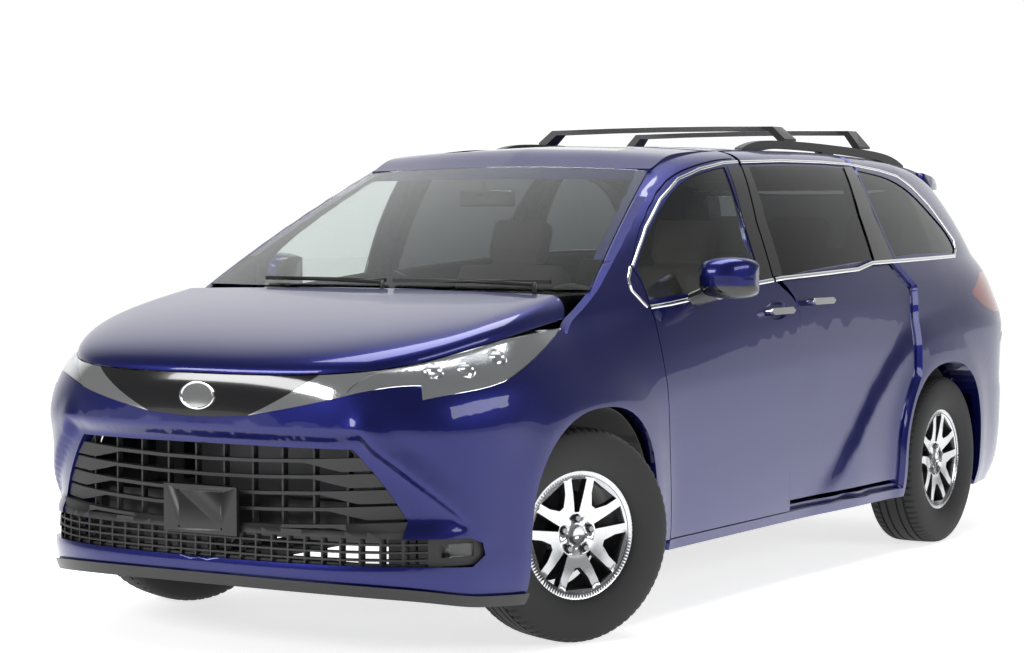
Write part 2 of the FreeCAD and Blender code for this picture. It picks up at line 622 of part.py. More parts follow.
def skin_at(place, share, row):
    """Point of the left outer surface. share is the corner's share of the width at that place;
    row runs 0..1 from the ground to the belt and 1..2 from the belt to the roof."""
    belt = smooth(BELT, place)
    belt_width = smooth(BELT_WIDTH, place)
    if row <= 1:
        z = belt * row
        width = FLANK_HALF_WIDTH * smooth(LOWER_SHARES, row)
        rise = max(row - 0.74, 0.0) / 0.26
        width += (belt_width - FLANK_HALF_WIDTH * LOWER_SHARES[-1][1]) * rise * rise
        x = real_length(place, z)
        width += flank_relief(x, z) * (1 - rise) * share
    else:
        z = belt + (smooth(SIDE_ROOF, place) - belt) * (row - 1)
        width = belt_width * smooth(UPPER_SHARES, row - 1)
        x = real_length(place, z)
        behind = max(windshield_length(z) - x, 0.0)
        if x > 0:
            wrap = PILLAR_WRAP * max(z - WINDSHIELD_FOOT_Z, 0.0) / (WINDSHIELD_HEAD_Z - WINDSHIELD_FOOT_Z)
            width -= wrap * math.exp(-behind / PILLAR_REACH)
    point = V(x, width * share, z)
    if row < 1 and place > FRONT_CORNER_X:
        point.x += front_relief(point)
    return point


def corner_stations(start, end, power, count):
    """Places round a corner, evenly spaced in plan, each with its share of the width."""
    fine = 1200
    walk = []
    length = 0.0
    before = None
    for k in range(fine + 1):
        angle = math.pi / 2 * k / fine
        t = math.sin(angle) ** (2 / power)
        share = math.cos(angle) ** (2 / power) if k < fine else 0.0
        place = start + (end - start) * t
        if before:
            length += math.hypot(place - before[0], FLANK_HALF_WIDTH * (share - before[1]))
        walk.append((place, share, length))
        before = (place, share)
    stations = []
    k = 0
    for i in range(count + 1):
        while k < fine and walk[k][2] < length * i / count - 1e-9:
            k += 1
        stations.append(walk[k][:2])
    return stations


def side_stations(first, last, count):
    stations = []
    for i in range(count + 1):
        place = first + (last - first) * i / count
        stations.append((place, corner_share(place)))
    return stations


def skin_grid(stations, rows):
    """Rows of points and of plan normals over the outer surface; rows may differ by place."""
    points = []
    for place, share in stations:
        points.append([skin_at(place, share, row) for row in rows(place)])
    normals = []
    for i, line in enumerate(points):
        normals.append([])
        for j in range(len(line)):
            before = points[max(i - 1, 0)][j]
            after = points[min(i + 1, len(points) - 1)][j]
            along = after - before
            normal = V(-along.y, along.x, 0)
            if stations[i][1] == 0.0:
                normal = V(math.copysign(1.0, stations[i][0]), 0, 0)
            elif along.x < 0 and stations[0][0] > stations[-1][0]:
                normal = normal * -1
            normals[-1].append(normal.normalize())
    return points, normals


# Solids from surfaces

def surface(points):
    skin = Part.BSplineSurface()
    skin.interpolate(points)
    return skin


def borders(skin):
    u0, u1, v0, v1 = skin.bounds()
    return [skin.uIso(u0).toShape(), skin.uIso(u1).toShape(), skin.vIso(v0).toShape(), skin.vIso(v1).toShape()]


def solid_between(outer, inner):
    """Closed solid between two grids of points."""
    near = surface(outer)
    far = surface(inner)
    faces = [near.toShape(), far.toShape()]
    for a, b in zip(borders(near), borders(far)):
        faces.append(Part.makeRuledSurface(a, b))
    shell = Part.Compound(faces)
    shell.sewShape()
    body = Part.Solid(shell.Shells[0])
    if body.Volume < 0:
        body.reverse()
    return body


def skin_slab(stations, rows, outer, inner):
    """Solid that follows the outer surface from one depth to another; a depth may vary by row."""
    points, normals = skin_grid(stations, rows)
    far = []
    near = []
    for i, line in enumerate(points):
        rows_here = rows(stations[i][0])
        near.append([p - n * outer(r) for p, n, r in zip(line, normals[i], rows_here)])
        far.append([p - n * inner(r) for p, n, r in zip(line, normals[i], rows_here)])
    return solid_between(near, far)


def constant(depth):
    return lambda row: depth


def by_height(low, high):
    """Depth that changes from low to high just round the belt."""
    return lambda row: low + (high - low) * soft_step((row - 0.97) / 0.06)


def outline_wire(runs, place):
    """Closed wire through runs of points: a run of two is a line, a longer one a smooth curve."""
    edges = []
    for run in runs:
        points = [place(a, b) for a, b in run]
        if len(points) == 2:
            edges.append(Part.LineSegment(points[0], points[1]).toShape())
        else:
            curve = Part.BSplineCurve()
            curve.interpolate(points)
            edges.append(curve.toShape())
    return Part.Wire(edges)


def from_side(a, b):
    return V(a, 0, b)


def from_corner(a, b):
    """Point seen along the front corner's diagonal, as (across, height)."""
    return V(-a / math.sqrt(2), a / math.sqrt(2), b)


def from_front(a, b):
    return V(0, a, b)


def straight(points):
    """Runs of two points each, so that every corner stays sharp."""
    return [[a, b] for a, b in zip(points, points[1:])]


def samples(runs):
    """Corner points of an outline, its curves taken in short straight steps."""
    points = []
    for run in runs:
        if len(run) == 2:
            points.append(run[0])
            continue
        curve = Part.BSplineCurve()
        curve.interpolate([V(a, b, 0) for a, b in run])
        count = max(3, int(curve.length() / CURVE_STEP))
        first, last = curve.FirstParameter, curve.LastParameter
        for k in range(count):
            point = curve.value(first + (last - first) * k / count)
            points.append((point.x, point.y))
    return points


def outward(start, end, turn):
    """Unit normal of one side of an outline."""
    length = math.dist(start, end)
    return (end[1] - start[1]) / length * turn, (start[0] - end[0]) / length * turn


def grown(points, grow):
    """The outline with each of its sides moved outward."""
    following = points[1:] + points[:1]
    area = sum(a[0] * b[1] - b[0] * a[1] for a, b in zip(points, following))
    turn = math.copysign(1.0, area)
    moved = []
    for k, point in enumerate(points):
        before = outward(points[k - 1], point, turn)
        after = outward(point, following[k], turn)
        share = grow / (1 + before[0] * after[0] + before[1] * after[1])
        moved.append((point[0] + (before[0] + after[0]) * share, point[1] + (before[1] + after[1]) * share))
    return moved


def prism(points, place, way):
    """Straight-sided solid over an outline: place turns its points into space, way is its length."""
    return Part.Face(Part.makePolygon([place(a, b) for a, b in points + points[:1]])).extrude(way)


def largest(shape):
    return max(shape.Solids, key=lambda solid: solid.Volume)


def cutter(runs, view, reach_from, reach_to, grow=0.0):
    """Prism through the body along a view, its outline grown or shrunk."""
    place = {"side": from_side, "corner": from_corner, "front": from_front}[view]
    way = {"side": V(0, 1, 0), "corner": V(1, 1, 0).normalize(), "front": V(1, 0, 0)}[view]
    points = samples(runs)
    if grow:
        points = grown(points, grow)
    shape = prism(points, place, way * (reach_to - reach_from))
    shape.translate(way * reach_from)
    return shape


SIDE_REACH = (FLANK_HALF_WIDTH * 0.3, FLANK_HALF_WIDTH * 1.3)
CORNER_REACH = (HALF_LENGTH * 0.3, HALF_LENGTH * 1.3)


def side_cutter(runs, grow=0.0):
    return cutter(runs, "side", SIDE_REACH[0], SIDE_REACH[1], grow)


def corner_cutter(runs, grow=0.0):
    return cutter(runs, "corner", CORNER_REACH[0], CORNER_REACH[1], grow)


def mirrored(shape):
    return shape.mirror(V(0, 0, 0), V(0, 1, 0))


def both(shape):
    return [shape, mirrored(shape)]


def whole(half):
    """A piece across the middle from its left half."""
    return half.fuse(mirrored(half)).removeSplitter()


def box(low, high):
    return Part.makeBox(high[0] - low[0], high[1] - low[1], high[2] - low[2], V(*low))


def rounded_box(low, high, radius):
    shape = box(low, high)
    return shape.makeFillet(radius, shape.Edges)


def rod(start, end, radius):
    start = V(*start)
    way = V(*end) - start
    return Part.makeCylinder(radius, way.Length, start, way)


def fused(shapes):
    return shapes[0].multiFuse(shapes[1:]) if len(shapes) > 1 else shapes[0]


def save(name, shapes):
    if not isinstance(shapes, list):
        shapes = [shapes]
    solids = [solid for shape in shapes for solid in shape.Solids]
    whole_shape = solids[0] if len(solids) == 1 else Part.makeCompound(solids)
    whole_shape.exportStep("parts/%s.step" % name)
    print(name, len(solids), round(whole_shape.Volume / 1e6, 2), flush=True)


# Outlines in millimetres

def joined(*parts):
    """Closed outline from stretches given as shares of length and height."""
    runs = [side_points(part) for part in parts]
    return close_runs(runs)


def close_runs(runs):
    closed = []
    for k, run in enumerate(runs):
        closed.append(run)
        following = runs[(k + 1) % len(runs)][0]
        if math.dist(run[-1], following) > SEAT_GAP:
            closed.append([run[-1], following])
    return closed


def reversed_run(shares):
    return list(reversed(shares))


FRONT_DOOR_OUTLINE = joined(DOOR_FRONT_EDGE_SHARES, FRAME_TOP_SHARES, DOOR_SEAM_SHARES[:4], DOOR_SEAM_SHARES[3:])
SLIDE_OUTLINE = joined(SLIDE_TOP_SHARES[:2], SLIDE_TOP_SHARES[1:3], SLIDE_TOP_SHARES[2:], SLIDE_REAR_SHARES[:4],
                       SLIDE_REAR_SHARES[3:6], SLIDE_REAR_SHARES[5:], SLIDE_ARCH_SHARES,
                       reversed_run(DOOR_SEAM_SHARES[3:]), reversed_run(DOOR_SEAM_SHARES[:4]))
FRONT_WINDOW = close_runs([side_points(run) for run in FRONT_WINDOW_SHARES])
SLIDE_WINDOW = close_runs([side_points(run) for run in SLIDE_WINDOW_SHARES])
QUARTER_WINDOW = close_runs([side_points(run) for run in QUARTER_WINDOW_SHARES])
FENDER_OUTLINE = joined(DOOR_FRONT_EDGE_SHARES, reversed_run(FENDER_PILLAR_SHARES), reversed_run(FENDER_TOP_SHARES),
                        reversed_run(HOOD_SIDE_SHARES), reversed_run(FENDER_LAMP_SHARES),
                        reversed_run(FENDER_FRONT_SHARES), [(FENDER_FRONT_SHARES[0][0], 0.0), (DOOR_FRONT_EDGE_SHARES[0][0], 0.0)])


def arch_outline(centre, grow=0.0):
    """A wheel arch seen from the side, open downwards."""
    curve = []
    steps = 16
    for k in range(steps + 1):
        angle = math.pi * k / steps
        c, s = math.cos(angle), math.sin(angle)
        across = math.copysign(abs(c) ** (2 / ARCH_POWER), c) * (ARCH_HALF_LENGTH + grow)
        curve.append((centre + across, ARCH_BASE + abs(s) ** (2 / ARCH_POWER) * (ARCH_RISE + grow)))
    low = -OVERRUN
    return close_runs([curve, [(curve[-1][0], low), (curve[0][0], low)]])


# Grids over the outer surface

NOSE_STATIONS = corner_stations(FRONT_CORNER_X, HALF_LENGTH, FRONT_CORNER_POWER, 60)
TAIL_STATIONS = corner_stations(REAR_CORNER_X, -HALF_LENGTH, REAR_CORNER_POWER, 36)
FLANK_STATIONS = side_stations(REAR_CORNER_X, FRONT_CORNER_X, 56)
SIDE_STATIONS = list(reversed(TAIL_STATIONS[1:29])) + FLANK_STATIONS + NOSE_STATIONS[2:21:2]
FENDER_STATIONS = [s for s in SIDE_STATIONS if s[0] > DOOR_FRONT_EDGE_SHARES[0][0] * HALF_LENGTH - FLANK_HALF_WIDTH / 8]
FRONT_STATIONS = [s for s in FLANK_STATIONS if s[0] > FRONT_AXLE - OVERRUN] + NOSE_STATIONS[1:]
LOWER_ROWS = [0.26, 0.33, 0.41, 0.50, 0.58, 0.66, 0.74, 0.80, 0.86, 0.91, 0.95, 0.98, 1.0]
UPPER_ROWS = [1.025, 1.07, 1.15, 1.25, 1.35, 1.45, 1.55, 1.65, 1.75, 1.82, 1.88, 1.915, 1.945]
BUMPER_BOTTOM = side_points(BUMPER_BOTTOM_SHARES)
REAR_BUMPER_BOTTOM = SILL_BOTTOM - MOVING_GAP * 5


def side_rows(place):
    return [SILL_BOTTOM / smooth(BELT, place)] + LOWER_ROWS + UPPER_ROWS


def front_rows(place):
    belt = smooth(BELT, place)
    low = smooth(BUMPER_BOTTOM, place) / belt
    high = 1 - MOVING_GAP / 2 / belt
    return [low + (high - low) * k / 30 for k in range(31)]


def nose_rows(place):
    """Rows of the front's upper part, up to just short of the hood's edge."""
    top = 1.0 + MOVING_GAP / 2 / smooth(BELT, place)
    return [0.8, 0.85, 0.9, 0.95, 0.98, top]


def lip_rows(place):
    belt = smooth(BELT, place)
    top = smooth(BUMPER_BOTTOM, place) - SEAT_GAP
    return [(top - LIP_HEIGHT * (3 - k) / 3) / belt for k in range(4)]


def rear_bumper_rows(place):
    belt = smooth(BELT, place)
    top = BELT_SHARES[0][1] * ROOF_HEIGHT * 0.72
    return [(REAR_BUMPER_BOTTOM + (top - REAR_BUMPER_BOTTOM) * k / 12) / belt for k in range(13)]


# The glass of the windshield leans by this normal
WINDSHIELD_RISE = WINDSHIELD_HEAD_Z - WINDSHIELD_FOOT_Z
WINDSHIELD_RUN = WINDSHIELD_FOOT_X - WINDSHIELD_HEAD_X
WINDSHIELD_NORMAL = V(WINDSHIELD_RISE, 0, WINDSHIELD_RUN).normalize()


def windshield_grid(reach, low, high, lift):
    across = [reach * (k / 8 - 1) for k in range(17)]
    steps = 14
    return [[windshield_point(a, low + (high - low) * j / steps) + WINDSHIELD_NORMAL * lift
             for j in range(steps + 1)] for a in across]


def windshield_cutter():
    return solid_between(windshield_grid(1.4, -0.3, 1.6, ROOF_HEIGHT / 4),
                         windshield_grid(1.4, -0.3, 1.6, -GLASS_DEPTH - SEAL_GAP * 2))


def roof_grid(first, last, spread, lift, follow_head):
    """Points of the roof's outer face, left half, from the ditch to the middle."""
    shares = [1.0, 0.93, 0.85, 0.7, 0.55, 0.4, 0.25, 0.12, 0.0]
    ditch = CROWN_SHARES[-1][0]
    steps = 30
    lines = []
    for i in range(steps + 1):
        line = []
        for share in shares:
            head = last - (WINDSHIELD_HEAD_SWEEP * share * share if follow_head else 0.0)
            x = first + (head - first) * i / steps
            width = smooth(BELT_WIDTH, x) * corner_share(x)
            rise = smooth(CROWN_SHARES, ditch * share)
            z = smooth(BELT, x) + (smooth(ROOF, x) - smooth(BELT, x)) * rise
            line.append(V(x, width * ditch * share * spread, z + lift))
        lines.append(line)
    return lines


# Body shell

def roof_half(spread, rise, depth):
    first = TAILGATE_SEAM_X + MOVING_GAP / 2
    return solid_between(roof_grid(first, WINDSHIELD_HEAD_X, spread, rise, True),
                         roof_grid(first, WINDSHIELD_HEAD_X, spread, -depth, True))


def sunroof_runs(grow):
    x0, x1 = SUNROOF_REAR_X - grow, SUNROOF_FRONT_X + grow
    y = SUNROOF_HALF_WIDTH + grow
    return [[(x0, -y), (x1, -y)], [(x1, -y), (x1, y)], [(x1, y), (x0, y)], [(x0, y), (x0, -y)]]


def prism_up(runs, low, high):
    return prism(samples(runs), lambda a, b: V(a, b, low), V(0, 0, high - low))


def make_roof():
    half = roof_half(1 - SEAT_GAP / 600, 0.0, ROOF_DEPTH)
    roof = whole(half)
    roof = roof.cut(prism_up(sunroof_runs(0.0), FLOOR_TOP, ROOF_HEIGHT + OVERRUN))
    save("roof", roof)
    glass = whole(solid_between(roof_grid(SUNROOF_REAR_X - OVERRUN, SUNROOF_FRONT_X + OVERRUN, 0.9, -GLASS_INSET / 2, False),
                                roof_grid(SUNROOF_REAR_X - OVERRUN, SUNROOF_FRONT_X + OVERRUN, 0.9,
                                          -GLASS_INSET / 2 - GLASS_DEPTH, False)))
    save("roof_glass", glass.common(prism_up(sunroof_runs(-SEAT_GAP), FLOOR_TOP, ROOF_HEIGHT + OVERRUN)))


def rear_cutter(runs, grow=0.0):
    return cutter(runs, "front", -HALF_LENGTH * 1.2, TAILGATE_SEAM_X + grow, grow)


def tailgate_outline():
    half = scaled(TAILGATE_HALF_SHARES, FLANK_HALF_WIDTH, ROOF_HEIGHT)
    other = [(-y, z) for y, z in reversed(half)]
    points = half + other
    return [[points[k], points[(k + 1) % len(points)]] for k in range(len(points))]


def make_body_sides():
    depth = by_height(PANEL_DEPTH, PANEL_DEPTH_HIGH)
    side = skin_slab(SIDE_STATIONS, side_rows, constant(0.0), depth)
    edge = skin_slab(SIDE_STATIONS, side_rows, constant(-OVERRUN),
                     by_height(DOOR_EDGE_DEPTH + SEAL_GAP, DOOR_EDGE_DEPTH_HIGH + SEAL_GAP))
    for outline in (FRONT_DOOR_OUTLINE, SLIDE_OUTLINE):
        side = side.cut(side_cutter(outline, MOVING_GAP / 2).common(edge))
        side = side.cut(side_cutter(outline, -FLANGE_WIDTH))
    side = side.cut(side_cutter(QUARTER_WINDOW))
    corner = FENDER_PILLAR_SHARES[0]
    ahead = joined(DOOR_FRONT_EDGE_SHARES, reversed_run(FENDER_PILLAR_SHARES),
                   *straight([corner, (1.2, corner[1]), (1.2, -0.1), (DOOR_FRONT_EDGE_SHARES[0][0], -0.1)]))
    side = side.cut(side_cutter(ahead, SEAT_GAP / 2))
    side = side.cut(side_cutter(arch_outline(REAR_ARCH_X)))
    side = side.cut(windshield_cutter())
    side = side.cut(roof_half(1 + SEAT_GAP / 600, OVERRUN, ROOF_DEPTH + SEAT_GAP))
    first, last = REAR_BUMPER_SPLIT_SHARES[0], REAR_BUMPER_SPLIT_SHARES[-1]
    below = joined(REAR_BUMPER_SPLIT_SHARES, *straight([last, (-1.2, last[1]), (-1.2, -0.1), (first[0], -0.1)]))
    side = side.cut(side_cutter(below, SEAT_GAP / 2))
    lamp = joined(TAIL_LAMP_SHARES[:3], *straight(TAIL_LAMP_SHARES[2:6]), TAIL_LAMP_SHARES[5:])
    lamp_depth = skin_slab(SIDE_STATIONS[:40], side_rows, constant(-OVERRUN), constant(LAMP_DEPTH_REAR + SEAT_GAP))
    side = side.cut(side_cutter(lamp, SEAT_GAP / 2).common(lamp_depth))
    side = side.cut(rear_cutter(tailgate_outline(), MOVING_GAP / 2))
    side = side.cut(side_cutter(FRONT_WINDOW, SEAT_GAP))
    side = largest(side)
    save("body_side_left", side)
    save("body_side_right", mirrored(side))
    lamp_slab = skin_slab(SIDE_STATIONS[:40], side_rows, constant(0.0), constant(LAMP_DEPTH_REAR))
    tail = lamp_slab.common(side_cutter(lamp, -SEAT_GAP / 2)).cut(rear_cutter(tailgate_outline(), MOVING_GAP / 2))
    save("tail_lamps", both(largest(tail)))


def make_fenders():
    slab = skin_slab(FENDER_STATIONS, side_rows, constant(0.0), constant(FENDER_DEPTH))
    fender = slab.common(side_cutter(FENDER_OUTLINE, -SEAT_GAP / 2))
    fender = fender.cut(side_cutter(arch_outline(FRONT_ARCH_X))).cut(windshield_cutter())
    fender = fender.cut(side_cutter(FRONT_DOOR_OUTLINE, MOVING_GAP / 2))
    fender = fender.cut(box((0, 0, 0), (FRONT_AXLE, HALF_LENGTH, DOOR_FRONT_EDGE_SHARES[0][1] * ROOF_HEIGHT)))
    save("front_fenders", both(largest(fender)))


def door_panel(outline, window, stations, handle):
    skin = skin_slab(stations, side_rows, constant(0.0), by_height(DOOR_EDGE_DEPTH, DOOR_EDGE_DEPTH_HIGH))
    core = skin_slab(stations, side_rows, by_height(DOOR_EDGE_DEPTH - MOVING_GAP, DOOR_EDGE_DEPTH_HIGH - MOVING_GAP),
                     by_height(DOOR_DEPTH, DOOR_DEPTH_HIGH))
    door = skin.common(side_cutter(outline, -MOVING_GAP / 2))
    door = door.fuse(core.common(side_cutter(outline, -DOOR_STEP)))
    door = largest(door.cut(side_cutter(window)))
    cup, pull = door_handle(handle[0], handle[1], stations)
    return [largest(door.cut(cup)), pull]


def window_glass(window, stations):
    slab = skin_slab(stations, side_rows, constant(GLASS_INSET), constant(GLASS_INSET + GLASS_DEPTH))
    return largest(slab.common(side_cutter(window, -SEAT_GAP)))


def ellipsoid(centre, radii):
    ball = Part.makeSphere(1.0)
    matrix = FreeCAD.Matrix()
    matrix.scale(radii[0], radii[1], radii[2])
    ball = ball.transformGeometry(matrix)
    ball.translate(centre)
    return ball


def skin_spot(x, z):
    """Point of the flank's outer face at a length and a height, away from the ends of the body."""
    return skin_at(x, 1.0, z / smooth(BELT, x))


def handle_outline(x, z, half_length, half_height):
    """A long six-sided outline round a place, pointed at both ends."""
    taper = half_height * HANDLE_TAPER_SHARE
    corners = [(x - half_length, z), (x - half_length + taper, z - half_height), (x + half_length - taper, z - half_height),
               (x + half_length, z), (x + half_length - taper, z + half_height), (x - half_length + taper, z + half_height)]
    return straight(corners + corners[:1])


def door_handle(x, z, stations):
    """A pull handle that stands off the door on two feet, over a hollow in the door's skin."""
    cup = ellipsoid(skin_spot(x, z), (CUP_HALF_LENGTH, CUP_DEPTH, CUP_HALF_HEIGHT))
    bar = skin_slab(stations, side_rows, constant(-HANDLE_PROUD), constant(HANDLE_THICKNESS - HANDLE_PROUD))
    bar = bar.common(side_cutter(handle_outline(x, z, HANDLE_HALF_LENGTH, HANDLE_HALF_HEIGHT)))
    feet = []
    for end in (-1, 1):
        foot = skin_slab(stations, side_rows, constant(-HANDLE_PROUD + SEAT_GAP), constant(-SEAT_GAP))
        place = x + end * (HANDLE_HALF_LENGTH - HANDLE_FOOT)
        feet.append(foot.common(side_cutter(handle_outline(place, z, HANDLE_FOOT, HANDLE_FOOT / 2))))
    return cup, fused([largest(bar)] + [largest(foot) for foot in feet])


def stations_between(low, high):
    return [s for s in SIDE_STATIONS if low * HALF_LENGTH - OVERRUN < s[0] < high * HALF_LENGTH + OVERRUN]


def make_doors():
    front_part = stations_between(DOOR_SEAM_SHARES[5][0], DOOR_FRONT_EDGE_SHARES[-1][0])
    slide_part = stations_between(SLIDE_REAR_SHARES[5][0], DOOR_SEAM_SHARES[3][0])
    door = door_panel(FRONT_DOOR_OUTLINE, FRONT_WINDOW, front_part, FRONT_HANDLE)
    save("front_door_left", door)
    save("front_door_right", [mirrored(piece) for piece in door])
    glass = window_glass(FRONT_WINDOW, front_part)
    save("front_door_glass_left", glass)
    save("front_door_glass_right", mirrored(glass))
    slide, pull = door_panel(SLIDE_OUTLINE, SLIDE_WINDOW, slide_part, SLIDE_HANDLE)
    slide = slide.cut(roof_half(1 + SEAT_GAP / 600, OVERRUN, ROOF_DEPTH + SEAT_GAP))
    slide = largest(slide.cut(side_cutter(arch_outline(REAR_ARCH_X, MOVING_GAP))))
    save("sliding_door_left", [slide, pull])
    save("sliding_door_right", [mirrored(slide), mirrored(pull)])
    quarter_part = stations_between(QUARTER_WINDOW_SHARES[0][-1][0], QUARTER_WINDOW_SHARES[-1][1][0])
    save("side_glass", both(window_glass(SLIDE_WINDOW, slide_part)) + both(window_glass(QUARTER_WINDOW, quarter_part)))


def make_windshield():
    glass = solid_between(windshield_grid(0.985, 0.01, 0.996, 0.0), windshield_grid(0.985, 0.01, 0.996, -GLASS_DEPTH))
    save("windshield", glass)


def hood_point(place, share, t):
    edge = skin_at(place, share, 1.0)
    edge.z += MOVING_GAP / 2
    crown = HOOD_REAR_DROP * (edge.y / FLANK_HALF_WIDTH) ** 2
    rear = V(HOOD_REAR_X, edge.y * HOOD_TAPER, HOOD_REAR_Z - crown)
    flat = t * t
    return V(edge.x + (rear.x - edge.x) * flat, edge.y + (rear.y - edge.y) * flat, edge.z + (rear.z - edge.z) * t)


def offset_inward(points, depth):
    """The same grid moved inward along its own normals."""
    moved = []
    for i, line in enumerate(points):
        row = []
        for j, p in enumerate(line):
            across = points[min(i + 1, len(points) - 1)][j] - points[max(i - 1, 0)][j]
            along = line[min(j + 1, len(line) - 1)] - line[max(j - 1, 0)]
            normal = across.cross(along).normalize()
            if normal.z < 0 or (abs(normal.z) < 0.02 and normal.x + normal.y < 0):
                normal = normal * -1
            if abs(p.y) < SEAT_GAP:
                normal = V(normal.x, 0, normal.z).normalize()
            row.append(p - normal * depth)
        moved.append(row)
    return moved


def make_hood():
    stations = [s for s in FRONT_STATIONS if s[0] > HOOD_REAR_X]
    steps = 14
    outer = [[hood_point(place, share, j / steps) for j in range(steps + 1)] for place, share in stations]
    hood = solid_between(outer, offset_inward(outer, HOOD_DEPTH))
    seam = side_points(HOOD_SIDE_SHARES)
    behind = close_runs([seam] + straight([seam[-1], (HOOD_REAR_X, ROOF_HEIGHT), (0.0, ROOF_HEIGHT), (0.0, seam[0][1])]))
    hood = hood.cut(side_cutter(behind, MOVING_GAP / 2))
    hood = hood.cut(skin_slab(FRONT_STATIONS, nose_rows, constant(-OVERRUN), constant(BUMPER_DEPTH + SEAL_GAP)))
    save("hood", whole(largest(hood)))


def make_bumper(slab, mouth):
    top = ROOF_HEIGHT
    upper = [corner_points(part) for part in
             (BADGE_BASE_SHARES, WING_BASE_SHARES, LAMP_BASE_SHARES, LAMP_FANG_SHARES, LAMP_OUTER_SHARES)]
    first, last = upper[0][0], upper[-1][-1]
    right = last[0] + OVERRUN * 4
    above = close_runs(upper + straight([last, (right, last[1]), (right, top), (first[0], top)]))
    bumper = slab.cut(corner_cutter(above, SEAT_GAP / 2)).cut(corner_cutter(mouth))
    bumper = bumper.cut(side_cutter(FENDER_OUTLINE, SEAT_GAP / 2)).cut(side_cutter(arch_outline(FRONT_ARCH_X)))
    bumper = bumper.cut(box((0, 0, 0), (FRONT_AXLE, HALF_LENGTH, ROOF_HEIGHT)))
    save("front_bumper", whole(largest(bumper)))


def skin_reach(a, b):
    """How far out along the corner's diagonal the skin lies behind a place of the corner's view."""
    nearest = math.inf
    reach = 0.0
    for place, share in NOSE_STATIONS:
        for row in front_rows(place):
            point = skin_at(place, share, row)
            seen = corner_view(point)
            gap = math.dist(seen, (a, b))
            if gap < nearest:
                nearest = gap
                reach = (point.x + point.y) / math.sqrt(2)
    return reach


def make_headlamps():
    """Each lamp is a thin clear cover over a housing with three hollow reflectors."""
    runs = close_runs([corner_points(part) for part in (LAMP_BASE_SHARES, LAMP_FANG_SHARES, LAMP_OUTER_SHARES,
                       reversed_run(WING_STRIP_SHARES), reversed_run(WING_OUTER_SHARES))])
    outline = corner_cutter(runs, -SEAT_GAP / 2)
    fender = side_cutter(FENDER_OUTLINE, SEAT_GAP / 2)
    cover = skin_slab(FRONT_STATIONS, front_rows, constant(0.0), constant(COVER_THICKNESS))
    cover = largest(cover.common(outline).cut(fender))
    depth = COVER_THICKNESS + SEAT_GAP
    housing = skin_slab(FRONT_STATIONS, front_rows, constant(depth), constant(LAMP_DEPTH))
    housing = largest(housing.common(outline).cut(fender))
    bowls = []
    for a, b in corner_points(BOWL_SHARES):
        centre = from_corner(a, b) + V(1, 1, 0).normalize() * (skin_reach(a, b) + BOWL_RADIUS / 3)
        bowls.append(Part.makeSphere(BOWL_RADIUS, centre))
    housing = largest(housing.cut(Part.makeCompound(bowls)))
    save("headlamps", both(housing) + both(cover))


def slat_prism(k):
    """Half of one slat seen from the front; it rises outward and widens into a paddle."""
    z = SLAT_TOP_Z - SLAT_PITCH * k
    half = SLAT_HEIGHT / 2
    tip = PADDLE_Y + PADDLE_STEP_Y * k
    end = FLANK_HALF_WIDTH
    at_tip = z + SLAT_RISE * (tip / SLAT_RISE_Y) ** 2 * 0.6
    slope = SLAT_RISE / SLAT_RISE_Y * 1.3
    at_end = at_tip + (end - tip) * slope
    low_start = tip + PADDLE_RUN
    low = at_tip + (low_start - tip) * slope + half - PADDLE_HEIGHT
    outline = [(0.0, z + half), (tip / 2, z + half + (at_tip - z) / 4), (tip, at_tip + half), (end, at_end + half),
               (end, low + (end - low_start) * slope), (low_start, low), (tip, at_tip - half),
               (tip / 2, z - half + (at_tip - z) / 4), (0.0, z - half)]
    return prism(outline, lambda y, h: V(HALF_LENGTH / 2, y, h), V(HALF_LENGTH, 0, 0))


def flat_bar(y0, y1, z, height):
    return box((HALF_LENGTH / 2, y0, z - height / 2), (HALF_LENGTH * 1.1, y1, z + height / 2))


def make_grille(mouth):
    """Slats with paddles in front, upright bars behind, and the mesh and lamp bezels of the intake."""
    inside = corner_cutter(mouth, -SEAT_GAP)
    deep = BUMPER_DEPTH + GRILLE_WALL
    front = []
    for k in range(SLAT_COUNT):
        z = SLAT_TOP_Z - SLAT_PITCH * k
        front.append(nose_wall(z, GRILLE_INSET, deep, z - PADDLE_HEIGHT * 2, z + SLAT_PITCH).common(slat_prism(k)))
    divider = nose_wall(DIVIDER_Z, GRILLE_INSET, deep, DIVIDER_Z - DIVIDER_HEIGHT, DIVIDER_Z + DIVIDER_HEIGHT)
    front.append(divider.common(flat_bar(0.0, FLANK_HALF_WIDTH, DIVIDER_Z, DIVIDER_HEIGHT)))
    bars = nose_wall((SLAT_TOP_Z + DIVIDER_Z) / 2, BUMPER_DEPTH / 2, deep, DIVIDER_Z, SLAT_TOP_Z + SLAT_PITCH * 2)
    for k in range(BACK_BAR_COUNT):
        y = BACK_BAR_PITCH * (k + 0.5)
        front.append(bars.common(box((0.0, y - BACK_BAR_WIDTH / 2, 0.0), (HALF_LENGTH * 1.1, y + BACK_BAR_WIDTH / 2, ROOF_HEIGHT))))
    front.append(intake_mesh())
    front = fused(front).common(inside)
    ring = corner_cutter(mouth, FLANGE_WIDTH).cut(corner_cutter(mouth, -MOVING_GAP))
    plate = skin_slab(FRONT_STATIONS, front_rows, constant(BUMPER_DEPTH + SEAT_GAP), constant(deep))
    save("lower_grille", whole(largest(fused(front.Solids + plate.common(ring).Solids))))


